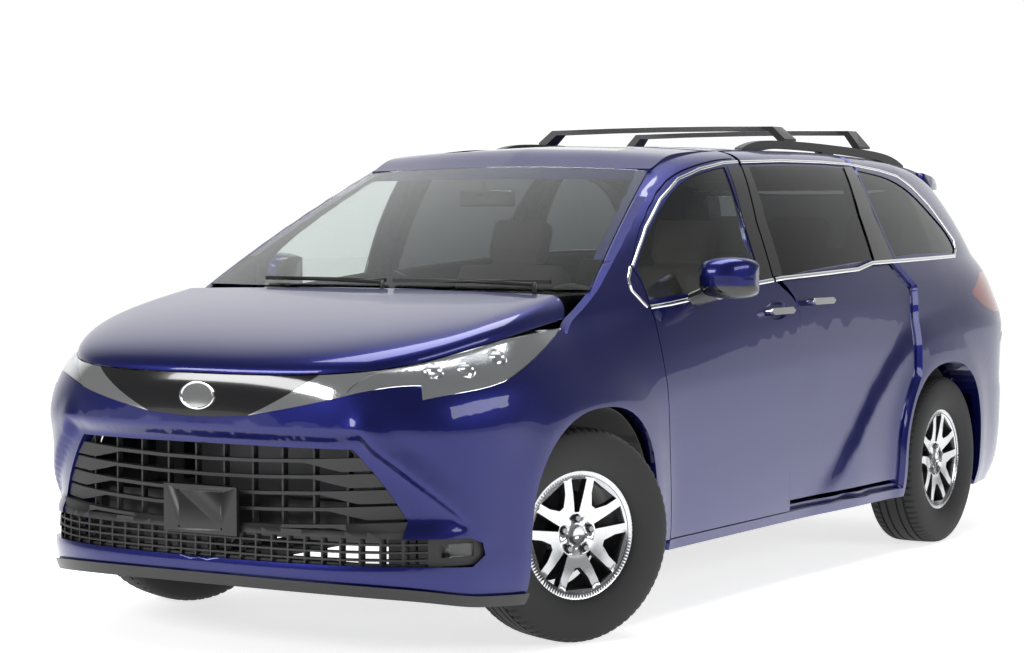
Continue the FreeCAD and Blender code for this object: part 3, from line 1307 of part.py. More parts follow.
def intake_mesh():
    """Half of the intake's mesh, which ends in the lamp's bezel."""
    mesh_top = DIVIDER_Z - DIVIDER_HEIGHT / 2
    wall = nose_wall(MESH_LOW_Z, GRILLE_INSET + MESH_BAR, BUMPER_DEPTH + GRILLE_WALL, INTAKE_LOW_Z, mesh_top)
    bars = []
    for k in range(MESH_ROWS):
        bars.append(flat_bar(0.0, BEZEL_Y + MESH_BAR, MESH_LOW_Z + MESH_PITCH_Z * k, MESH_BAR))
    for k in range(MESH_COLUMNS):
        y = MESH_PITCH_Y * (k + 0.5)
        bars.append(box((HALF_LENGTH / 2, y - MESH_BAR / 2, 0.0), (HALF_LENGTH * 1.1, y + MESH_BAR / 2, mesh_top)))
    bezel = box((HALF_LENGTH / 2, BEZEL_Y, 0.0), (HALF_LENGTH * 1.1, FLANK_HALF_WIDTH, mesh_top))
    bars.append(bezel.cut(fog_prism(SEAT_GAP)))
    return wall.common(fused(bars))


def nose_wall(height, near_depth, far_depth, low, high):
    """Half of an upright wall behind the skin, with the skin's plan at one height."""
    places = range(0, len(NOSE_STATIONS), 3)
    near = [nose_place(k, near_depth, height) for k in places]
    far = [nose_place(k, far_depth, height) for k in places]
    return prism(near + far[::-1], lambda x, y: V(x, y, low), V(0, 0, high - low))


def nose_place(k, depth, height):
    """Place in plan at a depth behind the skin, at one station of the nose."""
    row = height / smooth(BELT, NOSE_STATIONS[k][0])
    point = skin_at(*NOSE_STATIONS[k], row)
    ahead = skin_at(*NOSE_STATIONS[min(k + 1, len(NOSE_STATIONS) - 1)], row)
    behind = skin_at(*NOSE_STATIONS[max(k - 1, 0)], row)
    along = (ahead - behind).normalize()
    return point.x - abs(along.y) * depth, max(0.0, point.y - abs(along.x) * depth)


def fog_prism(grow):
    half_width = FOG_HALF + grow
    half_height = FOG_HALF_HEIGHT + grow
    corners = [(FOG_Y - half_width, FOG_Z - half_height), (FOG_Y + half_width, FOG_Z - half_height),
               (FOG_Y + half_width, FOG_Z + half_height), (FOG_Y - half_width, FOG_Z + half_height)]
    return prism(corners, from_front, V(HALF_LENGTH * 1.1, 0, 0))


def make_plate_bracket():
    x0 = nose_place(len(NOSE_STATIONS) - 1, GRILLE_INSET + MESH_BAR, MESH_LOW_Z)[0] + SEAT_GAP
    back = smooth(NOSE, PLATE_Z + PLATE_HEIGHT / 2) - SCOOP_DEPTH - GRILLE_INSET + SEAL_GAP
    seat = box((back, -PLATE_WIDTH / 3, PLATE_Z - MOVING_GAP), (x0, PLATE_WIDTH / 3, PLATE_Z + PLATE_HEIGHT / 2))
    bracket = box((x0, -PLATE_WIDTH / 2, PLATE_Z - PLATE_HEIGHT / 2),
                  (x0 + PLATE_DEPTH, PLATE_WIDTH / 2, PLATE_Z + PLATE_HEIGHT / 2))
    for y in (-PLATE_HOLE_Y / 2, PLATE_HOLE_Y / 2):
        for z in (PLATE_Z - PLATE_HOLE_Z / 2, PLATE_Z + PLATE_HOLE_Z / 2):
            bracket = bracket.cut(rod((x0 - OVERRUN, y, z), (x0 + OVERRUN, y, z), PLATE_HOLE_RADIUS))
    save("plate_bracket", bracket.fuse(seat))


def make_front():
    slab = skin_slab(FRONT_STATIONS, front_rows, constant(0.0), constant(BUMPER_DEPTH))
    mouth = close_runs([corner_points(run) for run in GRILLE_MOUTH_SHARES])
    make_bumper(slab, mouth)
    make_headlamps()
    wing_runs = close_runs([corner_points(part) for part in (WING_BASE_SHARES, WING_OUTER_SHARES, WING_STRIP_SHARES,
                            reversed_run(WING_TOP_SHARES), reversed_run(WING_INNER_SHARES))])
    wing = slab.common(corner_cutter(wing_runs, -SEAT_GAP / 2)).cut(side_cutter(FENDER_OUTLINE, SEAT_GAP / 2))
    save("bright_wings", both(largest(wing)))
    badge_runs = [corner_points(BADGE_BASE_SHARES), corner_points(WING_INNER_SHARES)]
    a, b = badge_runs[1][-1], badge_runs[0][0]
    badge_runs = close_runs(badge_runs + straight([a, (a[0], ROOF_HEIGHT), (b[0], ROOF_HEIGHT)]))
    badge = slab.common(corner_cutter(badge_runs, -SEAT_GAP / 2))
    save("badge_panel", whole(largest(badge)))
    make_grille(mouth)
    lip = skin_slab(FRONT_STATIONS, lip_rows, constant(-LIP_PROUD), constant(BUMPER_DEPTH))
    lip = lip.cut(side_cutter(arch_outline(FRONT_ARCH_X))).cut(box((0, 0, 0), (FRONT_AXLE, HALF_LENGTH, ROOF_HEIGHT)))
    save("front_lip", whole(largest(lip)))
    fog = skin_slab(FRONT_STATIONS, front_rows, constant(GRILLE_INSET), constant(BUMPER_DEPTH))
    save("fog_lamps", both(largest(fog.common(fog_prism(0.0)))))
    make_plate_bracket()


def gate_rows(place):
    """Rows of the tailgate, from its lower edge to the roof."""
    low = TAILGATE_HALF_SHARES[0][1] * ROOF_HEIGHT / smooth(BELT, place)
    lows = [low + (0.93 - low) * k / 8 for k in range(9)]
    return lows + [0.965, 1.0, 1.04, 1.12, 1.25, 1.4, 1.55, 1.7, 1.82, 1.88, 1.915, 1.945]


def spoiler():
    """Half of the roof's run past the seam, on a flat seat over the rear window."""
    top = roof_grid(SPOILER_REAR_X, TAILGATE_SEAM_X - MOVING_GAP / 2, SPOILER_SPREAD_SHARE, 0.0, False)
    under = [[V(point.x, point.y, SPOILER_LOW_Z) for point in line] for line in top]
    sides = cutter(tailgate_outline(), "front", -HALF_LENGTH * 1.2, TAILGATE_SEAM_X + OVERRUN, -MOVING_GAP / 2)
    return solid_between(top, under).common(sides)


def above_spoiler_seat(gap):
    """All the room of the tailgate's side above the spoiler's seat, lowered by a gap."""
    return box((-HALF_LENGTH * 1.2, -HALF_LENGTH, SPOILER_LOW_Z - gap), (TAILGATE_SEAM_X, HALF_LENGTH, ROOF_HEIGHT * 1.2))


def make_rear():
    tail = list(reversed(TAIL_STATIONS))
    reach = tail[:-1] + FLANK_STATIONS[:8]
    edge = skin_slab(tail, gate_rows, constant(0.0), constant(DOOR_EDGE_DEPTH))
    core = skin_slab(tail, gate_rows, constant(DOOR_EDGE_DEPTH - MOVING_GAP), constant(DOOR_DEPTH))
    runs = tailgate_outline()
    seat = above_spoiler_seat(SEAT_GAP)
    edge = edge.common(rear_cutter(runs, -MOVING_GAP / 2).cut(seat))
    gate = edge.fuse(core.common(rear_cutter(runs, -DOOR_STEP).cut(seat)))
    window = mirrored_runs(scaled(REAR_WINDOW_HALF_SHARES, FLANK_HALF_WIDTH, ROOF_HEIGHT))
    gate = gate.cut(rear_cutter(window))
    lamp_runs = gate_lamp_runs()
    pocket = skin_slab(tail, gate_rows, constant(-OVERRUN), constant(GATE_LAMP_DEPTH + SEAT_GAP))
    gate = gate.cut(rear_cutter(lamp_runs).common(pocket))
    save("tailgate", whole(largest(gate)))
    save("spoiler", whole(largest(spoiler())))
    glass = skin_slab(tail, gate_rows, constant(GLASS_INSET), constant(GLASS_INSET + GLASS_DEPTH))
    glass = glass.common(rear_cutter(window, -SEAT_GAP))
    save("tailgate_glass", whole(largest(glass)))
    lamps = skin_slab(tail, gate_rows, constant(0.0), constant(GATE_LAMP_DEPTH))
    lamps = lamps.common(rear_cutter(lamp_runs, -SEAT_GAP)).common(rear_cutter(runs, -MOVING_GAP / 2 - SEAT_GAP))
    save("tailgate_lamps", both(largest(lamps)))
    bumper = skin_slab(reach, rear_bumper_rows, constant(0.0), constant(REAR_BUMPER_DEPTH))
    first, last = REAR_BUMPER_SPLIT_SHARES[0], REAR_BUMPER_SPLIT_SHARES[-1]
    above = joined(REAR_BUMPER_SPLIT_SHARES, *straight([last, (-1.2, last[1]), (-1.2, 1.1), (first[0], 1.1)]))
    bumper = bumper.cut(side_cutter(above, SEAT_GAP / 2)).cut(side_cutter(arch_outline(REAR_ARCH_X)))
    bumper = bumper.cut(rear_cutter(tailgate_outline(), MOVING_GAP / 2))
    front_end = first[0] * HALF_LENGTH - SEAT_GAP
    bumper = bumper.cut(box((front_end, 0, 0), (0, HALF_LENGTH, ROOF_HEIGHT)))
    save("rear_bumper", whole(largest(bumper)))


def mirrored_runs(half):
    points = half + [(-y, z) for y, z in reversed(half)]
    return [[points[k], points[(k + 1) % len(points)]] for k in range(len(points))]


def gate_lamp_runs():
    points = scaled(GATE_LAMP_SHARES, FLANK_HALF_WIDTH, ROOF_HEIGHT)
    return straight(points + points[:1])


# Cabin floor, cowl and seats

def make_floor():
    """Floor pan with its step over the rear axle, cross walls, firewall and rear wheel houses."""
    half = FLOOR_HALF_WIDTH
    low = FLOOR_TOP - FLOOR_DEPTH
    step_low = STEP_TOP - FLOOR_DEPTH
    tail_half = FLOOR_HALF_WIDTH * TAIL_FLOOR_SHARE
    floor = box((STEP_FRONT_X, -half, low), (FIREWALL_X, half, FLOOR_TOP))
    riser = box((STEP_FRONT_X - FLOOR_DEPTH, -half, low), (STEP_FRONT_X, half, STEP_TOP))
    step = box((STEP_REAR_X, -half, step_low), (STEP_FRONT_X, half, STEP_TOP))
    drop = box((STEP_REAR_X, -tail_half, low), (STEP_REAR_X + FLOOR_DEPTH, tail_half, STEP_TOP))
    well = box((FLOOR_REAR_X, -tail_half, low), (STEP_REAR_X, tail_half, FLOOR_TOP))
    wall = box((FIREWALL_X - FLOOR_DEPTH / 2, -half, low), (FIREWALL_X, half, FIREWALL_TOP))
    tail = box((FLOOR_REAR_X, -tail_half, low), (FLOOR_REAR_X + FLOOR_DEPTH, tail_half, LOAD_SILL_TOP))
    pan = fused([floor, riser, step, drop, well, wall, tail])
    outer_r = LINER_RADIUS + LINER_WALL
    below = box((-HALF_LENGTH, -HALF_LENGTH, -HALF_LENGTH), (HALF_LENGTH, HALF_LENGTH, low))
    houses = []
    for side in (1, -1):
        start = (REAR_AXLE, side * HOUSE_INNER_Y, AXLE_HEIGHT)
        end = (REAR_AXLE, side * HOUSE_OUTER_Y, AXLE_HEIGHT)
        hollow = rod(start, (REAR_AXLE, side * FLANK_HALF_WIDTH, AXLE_HEIGHT), LINER_RADIUS)
        shell = rod((REAR_AXLE, side * (HOUSE_INNER_Y - LINER_WALL), AXLE_HEIGHT), end, outer_r)
        pan = pan.cut(hollow)
        houses.append(shell.cut(hollow).cut(below))
    room = BEAM_HALF + MOVING_GAP
    beam_way = box((REAR_AXLE - room, -HALF_LENGTH, 0), (REAR_AXLE + room, HALF_LENGTH, AXLE_HEIGHT + room))
    pan = fused([pan] + houses).cut(beam_way)
    save("floor_pan", largest(pan))


def make_front_frame():
    """Rails, towers and the crossmember that carry the fenders, lamps and hood."""
    parts = []
    for side in (1, -1):
        y0, y1 = sorted((side * RAIL_INNER_Y, side * (RAIL_INNER_Y + RAIL_SIZE)))
        parts.append(box((FIREWALL_X + SEAT_GAP, y0, RAIL_Z), (FRONT_BEAM_X, y1, RAIL_Z + RAIL_SIZE * 1.4)))
        y0, y1 = sorted((side * APRON_INNER_Y, side * (APRON_INNER_Y + RAIL_SIZE)))
        parts.append(box((FIREWALL_X + SEAT_GAP, y0, APRON_Z), (FRONT_BEAM_X - OVERRUN * 3, y1, APRON_Z + RAIL_SIZE)))
        x = FRONT_AXLE
        y0, y1 = sorted((side * (RAIL_INNER_Y), side * (APRON_INNER_Y + RAIL_SIZE / 2)))
        tower = box((x - TOWER_HALF, y0, RAIL_Z + RAIL_SIZE), (x + TOWER_HALF, y1, TOWER_TOP))
        tower = tower.cut(rod((x, side * (LINER_INNER_Y - LINER_WALL - SEAT_GAP), AXLE_HEIGHT),
                              (x, side * FLANK_HALF_WIDTH, AXLE_HEIGHT), LINER_RADIUS + LINER_WALL + SEAT_GAP))
        parts.append(tower)
    support_x = FRONT_BEAM_X - OVERRUN * 3
    y = APRON_INNER_Y + RAIL_SIZE
    parts.append(box((support_x - RAIL_SIZE, -y, APRON_Z), (support_x, y, APRON_Z + RAIL_SIZE)))
    for side in (1, -1):
        y0, y1 = sorted((side * RAIL_INNER_Y, side * (RAIL_INNER_Y + RAIL_SIZE)))
        parts.append(box((support_x - RAIL_SIZE, y0, RAIL_Z), (support_x, y1, APRON_Z + RAIL_SIZE)))
    parts.append(box((FRONT_BEAM_X, -RAIL_INNER_Y - RAIL_SIZE, RAIL_Z), (FRONT_BEAM_X + RAIL_SIZE, RAIL_INNER_Y + RAIL_SIZE, RAIL_Z + RAIL_SIZE * 1.4)))
    save("front_frame", fused(parts))
    core = box((support_x - RAIL_SIZE - RADIATOR_DEPTH - SEAT_GAP, -RADIATOR_HALF, RADIATOR_LOW),
               (support_x - RAIL_SIZE - SEAT_GAP, RADIATOR_HALF, APRON_Z + RAIL_SIZE / 2))
    save("radiator", core)


def make_liners():
    start = (FRONT_AXLE, LINER_INNER_Y, AXLE_HEIGHT)
    end = (FRONT_AXLE, FLANK_HALF_WIDTH * 1.02, AXLE_HEIGHT)
    ring = rod((FRONT_AXLE, LINER_INNER_Y - LINER_WALL, AXLE_HEIGHT), end, LINER_RADIUS + LINER_WALL).cut(rod(start, end, LINER_RADIUS))
    ring = ring.cut(skin_slab(FENDER_STATIONS, side_rows, constant(-OVERRUN), constant(FENDER_DEPTH + SEAT_GAP)))
    ring = ring.cut(skin_slab(FRONT_STATIONS, front_rows, constant(-OVERRUN), constant(BUMPER_DEPTH + SEAL_GAP)))
    low = AXLE_HEIGHT * 0.72
    ring = ring.cut(box((0, 0, -HALF_LENGTH), (HALF_LENGTH, HALF_LENGTH, low)))
    ring = ring.cut(box((FRONT_AXLE - AXLE_HEIGHT * 0.45, 0, 0), (FRONT_AXLE + AXLE_HEIGHT * 0.45, LINER_INNER_Y + SEAT_GAP, AXLE_HEIGHT * 1.35)))
    save("wheel_liners", both(max(ring.Solids, key=lambda s: s.Volume)))


def make_cowl():
    y = COWL_HALF_WIDTH
    cowl = box((FIREWALL_X - FLOOR_DEPTH / 2, -y, FIREWALL_TOP + SEAT_GAP), (HOOD_REAR_X - MOVING_GAP - SEAT_GAP, y, COWL_TOP))
    cowl = cowl.cut(windshield_cutter())
    save("cowl", cowl)


def steering_axis():
    """The steering wheel's centre and the way that its axle points, towards the driver."""
    tilt = math.radians(STEER_TILT)
    return V(STEER_X, STEER_Y, STEER_Z), V(-math.cos(tilt), 0, math.sin(tilt))


def make_dashboard():
    y = DASH_HALF_WIDTH
    profile = scaled(DASH_SHARES, HALF_LENGTH, ROOF_HEIGHT)
    dash = prism(profile, lambda a, b: V(a, -y, b), V(0, 2 * y, 0))
    dash = dash.cut(windshield_cutter())
    console = box((CONSOLE_REAR_X, -CONSOLE_HALF, FLOOR_TOP + SEAT_GAP), (profile[0][0] + OVERRUN, CONSOLE_HALF, CONSOLE_TOP))
    centre, way = steering_axis()
    hub_back = centre - way * (HUB_BACK + MOVING_GAP)
    shroud = Part.makeCylinder(SHROUD_RADIUS, SHROUD_LENGTH, hub_back, way * -1)
    pin = Part.makeCylinder(STEER_PIN_RADIUS, SHROUD_LENGTH + MOVING_GAP + HUB_BACK, centre, way * -1)
    screen = box((SCREEN_X, -SCREEN_HALF, SCREEN_LOW), (SCREEN_X + SCREEN_DEPTH, SCREEN_HALF, SCREEN_TOP))
    hood = rounded_box((BINNACLE_X, STEER_Y - BINNACLE_HALF, BINNACLE_LOW),
                       (BINNACLE_X + BINNACLE_DEPTH, STEER_Y + BINNACLE_HALF, BINNACLE_TOP), SEAT_ROUND / 2)
    save("dashboard", fused([dash, console, shroud, pin, screen, hood]))


def make_steering_wheel():
    centre, way = steering_axis()
    rim = Part.makeTorus(STEER_RADIUS, STEER_GRIP, centre, way)
    hub = Part.makeCylinder(STEER_HUB, HUB_BACK + STEER_GRIP, centre - way * HUB_BACK, way)
    parts = [rim, hub]
    side = V(0, 1, 0)
    down = way.cross(side)
    for spoke in (side, side * -1, down if down.z < 0 else down * -1):
        parts.append(Part.makeCylinder(STEER_GRIP * 0.8, STEER_RADIUS, centre - way * STEER_GRIP * 0.4, spoke))
    bore = Part.makeCylinder(STEER_PIN_RADIUS + BEARING_GAP, HUB_BACK + BEARING_GAP, centre + way * BEARING_GAP, way * -1)
    save("steering_wheel", fused(parts).cut(bore))


def seat_bench(x, half_width, centre_y, seat_top, lean, heads, floor=FLOOR_TOP):
    """A padded seat: cushion, leaning back and one or more headrests on posts."""
    low = seat_top - SEAT_CUSHION
    y0, y1 = centre_y - half_width, centre_y + half_width
    cushion = rounded_box((x - SEAT_LENGTH * 0.1, y0, low), (x + SEAT_LENGTH, y1, seat_top), SEAT_ROUND)
    back = rounded_box((x - SEAT_BACK_DEPTH, y0, seat_top - SEAT_CUSHION * 0.6), (x, y1, seat_top + SEAT_BACK_HEIGHT), SEAT_ROUND)
    parts = [back]
    for y in heads:
        top = seat_top + SEAT_BACK_HEIGHT
        rest = rounded_box((x - SEAT_BACK_DEPTH * 0.9, y - HEADREST_WIDTH / 2, top + SEAT_ROUND * 0.6),
                           (x - SEAT_BACK_DEPTH * 0.1, y + HEADREST_WIDTH / 2, top + SEAT_ROUND * 0.6 + HEADREST_HEIGHT), SEAT_ROUND * 0.7)
        parts.append(rest)
        for side in (-1, 1):
            post = rod((x - SEAT_BACK_DEPTH / 2, y + side * HEADREST_WIDTH / 5, top - SEAT_ROUND), (x - SEAT_BACK_DEPTH / 2, y + side * HEADREST_WIDTH / 5, top + SEAT_ROUND * 2), HEADREST_POST)
            parts.append(post)
    leaning = fused(parts)
    leaning.rotate(V(x, 0, seat_top - SEAT_CUSHION / 2), V(0, 1, 0), -lean)
    base = box((x + SEAT_LENGTH * 0.05, y0 + SEAT_ROUND * 1.5, floor + SEAT_GAP), (x + SEAT_LENGTH * 0.85, y1 - SEAT_ROUND * 1.5, low + SEAT_ROUND))
    return fused([cushion, leaning, base])


def make_seats():
    front = []
    for side in (1, -1):
        front.append(seat_bench(FRONT_SEAT_X, FRONT_SEAT_HALF, side * FRONT_SEAT_Y, FRONT_SEAT_TOP, SEAT_LEAN, [side * FRONT_SEAT_Y]))
    save("front_seats", front)
    middle = []
    for side in (1, -1):
        middle.append(seat_bench(MIDDLE_SEAT_X, FRONT_SEAT_HALF, side * MIDDLE_SEAT_Y, MIDDLE_SEAT_TOP, SEAT_LEAN, [side * MIDDLE_SEAT_Y]))
    save("second_row_seats", middle)
    save("third_row_seat", seat_bench(THIRD_SEAT_X, THIRD_SEAT_HALF, 0, THIRD_SEAT_TOP, SEAT_LEAN, [-THIRD_SEAT_HALF * 0.62, 0, THIRD_SEAT_HALF * 0.62], STEP_TOP))


# Roof rack and mirrors

def make_rack():
    """Two low rails with bulky ends on the roof's edges, and two arched bars across them."""
    places = [RAIL_REAR_X + (RAIL_FRONT_X - RAIL_REAR_X) * k / 16 for k in range(17)]
    upper = []
    lower = []
    for x in places:
        share = (x - RAIL_REAR_X) / (RAIL_FRONT_X - RAIL_REAR_X)
        arch = min(1.0, RAIL_END_SHARE * min(share, 1 - share)) ** 0.5
        top = rail_foot(x) + RACK_FOOT + RACK_RISE * arch
        upper.append((x, top))
        clear = min(1.0, max(0.0, RAIL_END_SHARE * min(share, 1 - share) - 0.4)) ** 0.5
        lower.append((x, min(rail_foot(x) - ROOF_DEPTH / 3 + (ROOF_DEPTH / 3 + RACK_FOOT) * clear, top - RACK_FOOT / 2)))
    outline = samples(close_runs([upper, list(reversed(lower))]))
    rail = prism(outline, from_side, V(0, RACK_RAIL_WIDTH, 0))
    rail.translate(V(0, RACK_Y - RACK_RAIL_WIDTH / 2, 0))
    middle = (RAIL_REAR_X + RAIL_FRONT_X) / 2
    foot = box((middle - RACK_FOOT_LENGTH / 2, RACK_Y - RACK_RAIL_WIDTH / 2, rail_foot(middle) - RACK_RISE),
               (middle + RACK_FOOT_LENGTH / 2, RACK_Y + RACK_RAIL_WIDTH / 2, rail_foot(middle) + RACK_RISE))
    rail = rail.fuse(foot).cut(roof_half(1.0, SEAT_GAP, ROOF_DEPTH)).cut(roof_side())
    save("roof_rails", both(largest(rail)))
    save("cross_bars", [cross_bar(x) for x in (FRONT_BAR_X, REAR_BAR_X)])


def roof_side():
    """The body side just under the rails, as a block that trims their feet."""
    rows = UPPER_ROWS[-6:]
    return skin_slab(SIDE_STATIONS, lambda place: rows, constant(-SEAT_GAP), constant(ROOF_DEPTH))


def cross_bar(x):
    """One bar: a slightly arched blade whose ends turn down and widen on to the rails."""
    foot_z = max(rail_foot(x - BAR_WIDTH), rail_foot(x + BAR_WIDTH)) + RACK_FOOT + RACK_RISE + SEAT_GAP
    inner = RACK_Y - RACK_RAIL_WIDTH / 2
    outer = RACK_Y + RACK_RAIL_WIDTH / 2
    under = BAR_TOP - BAR_HEIGHT
    top = [(0.0, BAR_TOP), (BAR_HALF / 2, BAR_TOP - BAR_CROWN / 4), (BAR_HALF, BAR_TOP - BAR_CROWN), (outer, foot_z + BAR_TOE)]
    low = [(outer, foot_z), (inner, foot_z), (BAR_HALF - BAR_HEIGHT, under - BAR_CROWN), (BAR_HALF / 2, under - BAR_CROWN / 4), (0.0, under)]
    front = prism(top + low, lambda y, z: V(x - BAR_WIDTH, y, z), V(BAR_WIDTH * 2, 0, 0))
    half = BAR_WIDTH / 2
    plan = [(-half, 0.0), (half, 0.0), (half, BAR_HALF - BAR_WIDTH), (half * BAR_FLARE_SHARE, outer), (-half * BAR_FLARE_SHARE, outer),
            (-half, BAR_HALF - BAR_WIDTH)]
    above = prism([(x + a, b) for a, b in plan], lambda a, b: V(a, b, 0.0), V(0, 0, ROOF_HEIGHT * 2))
    return whole(front.common(above))


def rail_foot(x):
    """Height of the roof where the rack stands."""
    rise = smooth(CROWN_SHARES, RACK_Y / smooth(BELT_WIDTH, x))
    return smooth(BELT, x) + (smooth(ROOF, x) - smooth(BELT, x)) * rise


def mirror_section(y, x0, x1, z0, z1, power):
    """Closed outline of the mirror's housing at one distance from the car, a rounded rectangle."""
    points = []
    steps = 20
    for k in range(steps):
        angle = 2 * math.pi * k / steps
        c, s = math.cos(angle), math.sin(angle)
        across = math.copysign(abs(c) ** (2 / power), c)
        up = math.copysign(abs(s) ** (2 / power), s)
        points.append(V((x0 + x1) / 2 + across * (x1 - x0) / 2, y, (z0 + z1) / 2 + up * (z1 - z0) / 2))
    curve = Part.BSplineCurve()
    curve.interpolate(points, True)
    return Part.Wire([curve.toShape()])


def make_wipers():
    """Two wipers that lie along the foot of the windshield, on pivots that stand on the cowl."""
    wipers = []
    for start, end in WIPER_SHARES:
        blade = []
        for k in range(5):
            across = start + (end - start) * k / 4
            blade.append(windshield_point(across, WIPER_UP_SHARE) + WINDSHIELD_NORMAL * (WIPER_RADIUS + SEAT_GAP + WIPER_LIFT))
        outline = [(p.x - WIPER_RADIUS, p.y) for p in blade] + [(p.x + WIPER_RADIUS, p.y) for p in blade[::-1]]
        under = blade[0].z - WIPER_RADIUS
        parts = [prism(outline, lambda x, y: V(x, y, under), V(0, 0, WIPER_RADIUS * 2))]
        pivot = V(HOOD_REAR_X - WIPER_PIVOT_BACK, blade[0].y, COWL_TOP + SEAT_GAP)
        parts.append(rod(tuple(pivot), (pivot.x, pivot.y, pivot.z + WIPER_PIVOT_HEIGHT), WIPER_PIVOT))
        middle = blade[2]
        parts.append(rod((pivot.x, pivot.y, pivot.z + WIPER_PIVOT_HEIGHT - WIPER_PIVOT), tuple(middle), WIPER_RADIUS))
        wipers.append(fused(parts))
    save("wipers", wipers)


def make_cabin_mirror():
    """The driver's mirror behind the windshield, on its stalk."""
    foot = windshield_point(0.0, CABIN_MIRROR_SHARE) - WINDSHIELD_NORMAL * (GLASS_DEPTH + SEAL_GAP)
    centre = foot - WINDSHIELD_NORMAL * CABIN_MIRROR_DROP
    half = V(CABIN_MIRROR_DEPTH / 2, CABIN_MIRROR_HALF, CABIN_MIRROR_DEPTH)
    glass = rounded_box(tuple(centre - half), tuple(centre + half), CABIN_MIRROR_DEPTH / 4)
    stalk = Part.makeCylinder(WIPER_PIVOT, CABIN_MIRROR_DROP, foot, WINDSHIELD_NORMAL * -1)
    save("cabin_mirror", glass.fuse(stalk))


def make_mirrors():
    sections = []
    for y_share, rear, front, low, high in MIRROR_SHARES:
        y = MIRROR_INNER_Y + MIRROR_WIDTH * y_share
        sections.append(mirror_section(y, MIRROR_X - MIRROR_DEPTH * rear, MIRROR_X + MIRROR_DEPTH * front,
                                       MIRROR_Z - MIRROR_HEIGHT * low, MIRROR_Z + MIRROR_HEIGHT * high, 3.2))
    head = Part.makeLoft(sections, True)
    head = head.cut(box((0.0, 0.0, 0.0), (MIRROR_X - MIRROR_DEPTH / 2, HALF_LENGTH, ROOF_HEIGHT)))
    arm_base = mirror_section(FLANK_HALF_WIDTH * 0.9, MIRROR_ARM_X - MIRROR_ARM_LENGTH / 2, MIRROR_ARM_X + MIRROR_ARM_LENGTH / 2,
                              MIRROR_ARM_Z - MIRROR_ARM_HEIGHT / 2, MIRROR_ARM_Z + MIRROR_ARM_HEIGHT / 2, 3.2)
    arm_end = mirror_section(MIRROR_INNER_Y + MIRROR_WIDTH / 3, MIRROR_X - MIRROR_DEPTH / 3, MIRROR_X + MIRROR_DEPTH / 4,
                             MIRROR_Z - MIRROR_HEIGHT / 2, MIRROR_Z, 3.2)
    mirror = largest(head).fuse(Part.makeLoft([arm_base, arm_end], True))
    skin = skin_slab(stations_between(DOOR_SEAM_SHARES[5][0], DOOR_FRONT_EDGE_SHARES[-1][0]), side_rows,
                     constant(-SEAT_GAP), constant(FLANK_HALF_WIDTH / 3))
    mirror = largest(mirror.cut(skin))
    save("mirror_left", mirror)
    save("mirror_right", mirrored(mirror))


# Running gear

def revolved(profile):
    """Solid of (radius, width) points turned about a wheel's axis, with the axis along +Y."""
    face = Part.Face(Part.makePolygon([V(r, w, 0) for r, w in profile + profile[:1]]))
    return face.revolve(V(0, 0, 0), V(0, 1, 0), 360)


def polar(radius, degrees):
    angle = math.radians(degrees)
    return math.cos(angle) * radius, math.sin(angle) * radius


def wheel_prism(corners, middle):
    """Prism along the axle over (radius share, degrees) corners of a window in the wheel's face."""
    points = [polar(RIM_DIAMETER / 2 * share, middle + degrees) for share, degrees in corners]
    return prism(points, lambda a, b: V(a, -RIM_WIDTH / 2, b), V(0, RIM_WIDTH * 2, 0))


def make_exhaust():
    """Pipe and silencer under the floor, hung from it on short brackets."""
    z = FLOOR_TOP - FLOOR_DEPTH - EXHAUST_DROP
    pipe = rod((EXHAUST_REAR_X, EXHAUST_Y, z), (EXHAUST_FRONT_X, EXHAUST_Y, z), EXHAUST_RADIUS)
    silencer = rounded_box((EXHAUST_REAR_X + OVERRUN, -EXHAUST_Y, z - SILENCER_HALF), (SILENCER_FRONT_X, EXHAUST_Y + OVERRUN, z + EXHAUST_RADIUS),
                           EXHAUST_RADIUS / 2)
    parts = [pipe, silencer]
    for x in (EXHAUST_FRONT_X - OVERRUN, SILENCER_FRONT_X - OVERRUN):
        parts.append(box((x, EXHAUST_Y - WIPER_PIVOT, z), (x + WIPER_PIVOT, EXHAUST_Y + WIPER_PIVOT, FLOOR_TOP - FLOOR_DEPTH - SEAT_GAP)))
    save("exhaust", fused(parts))


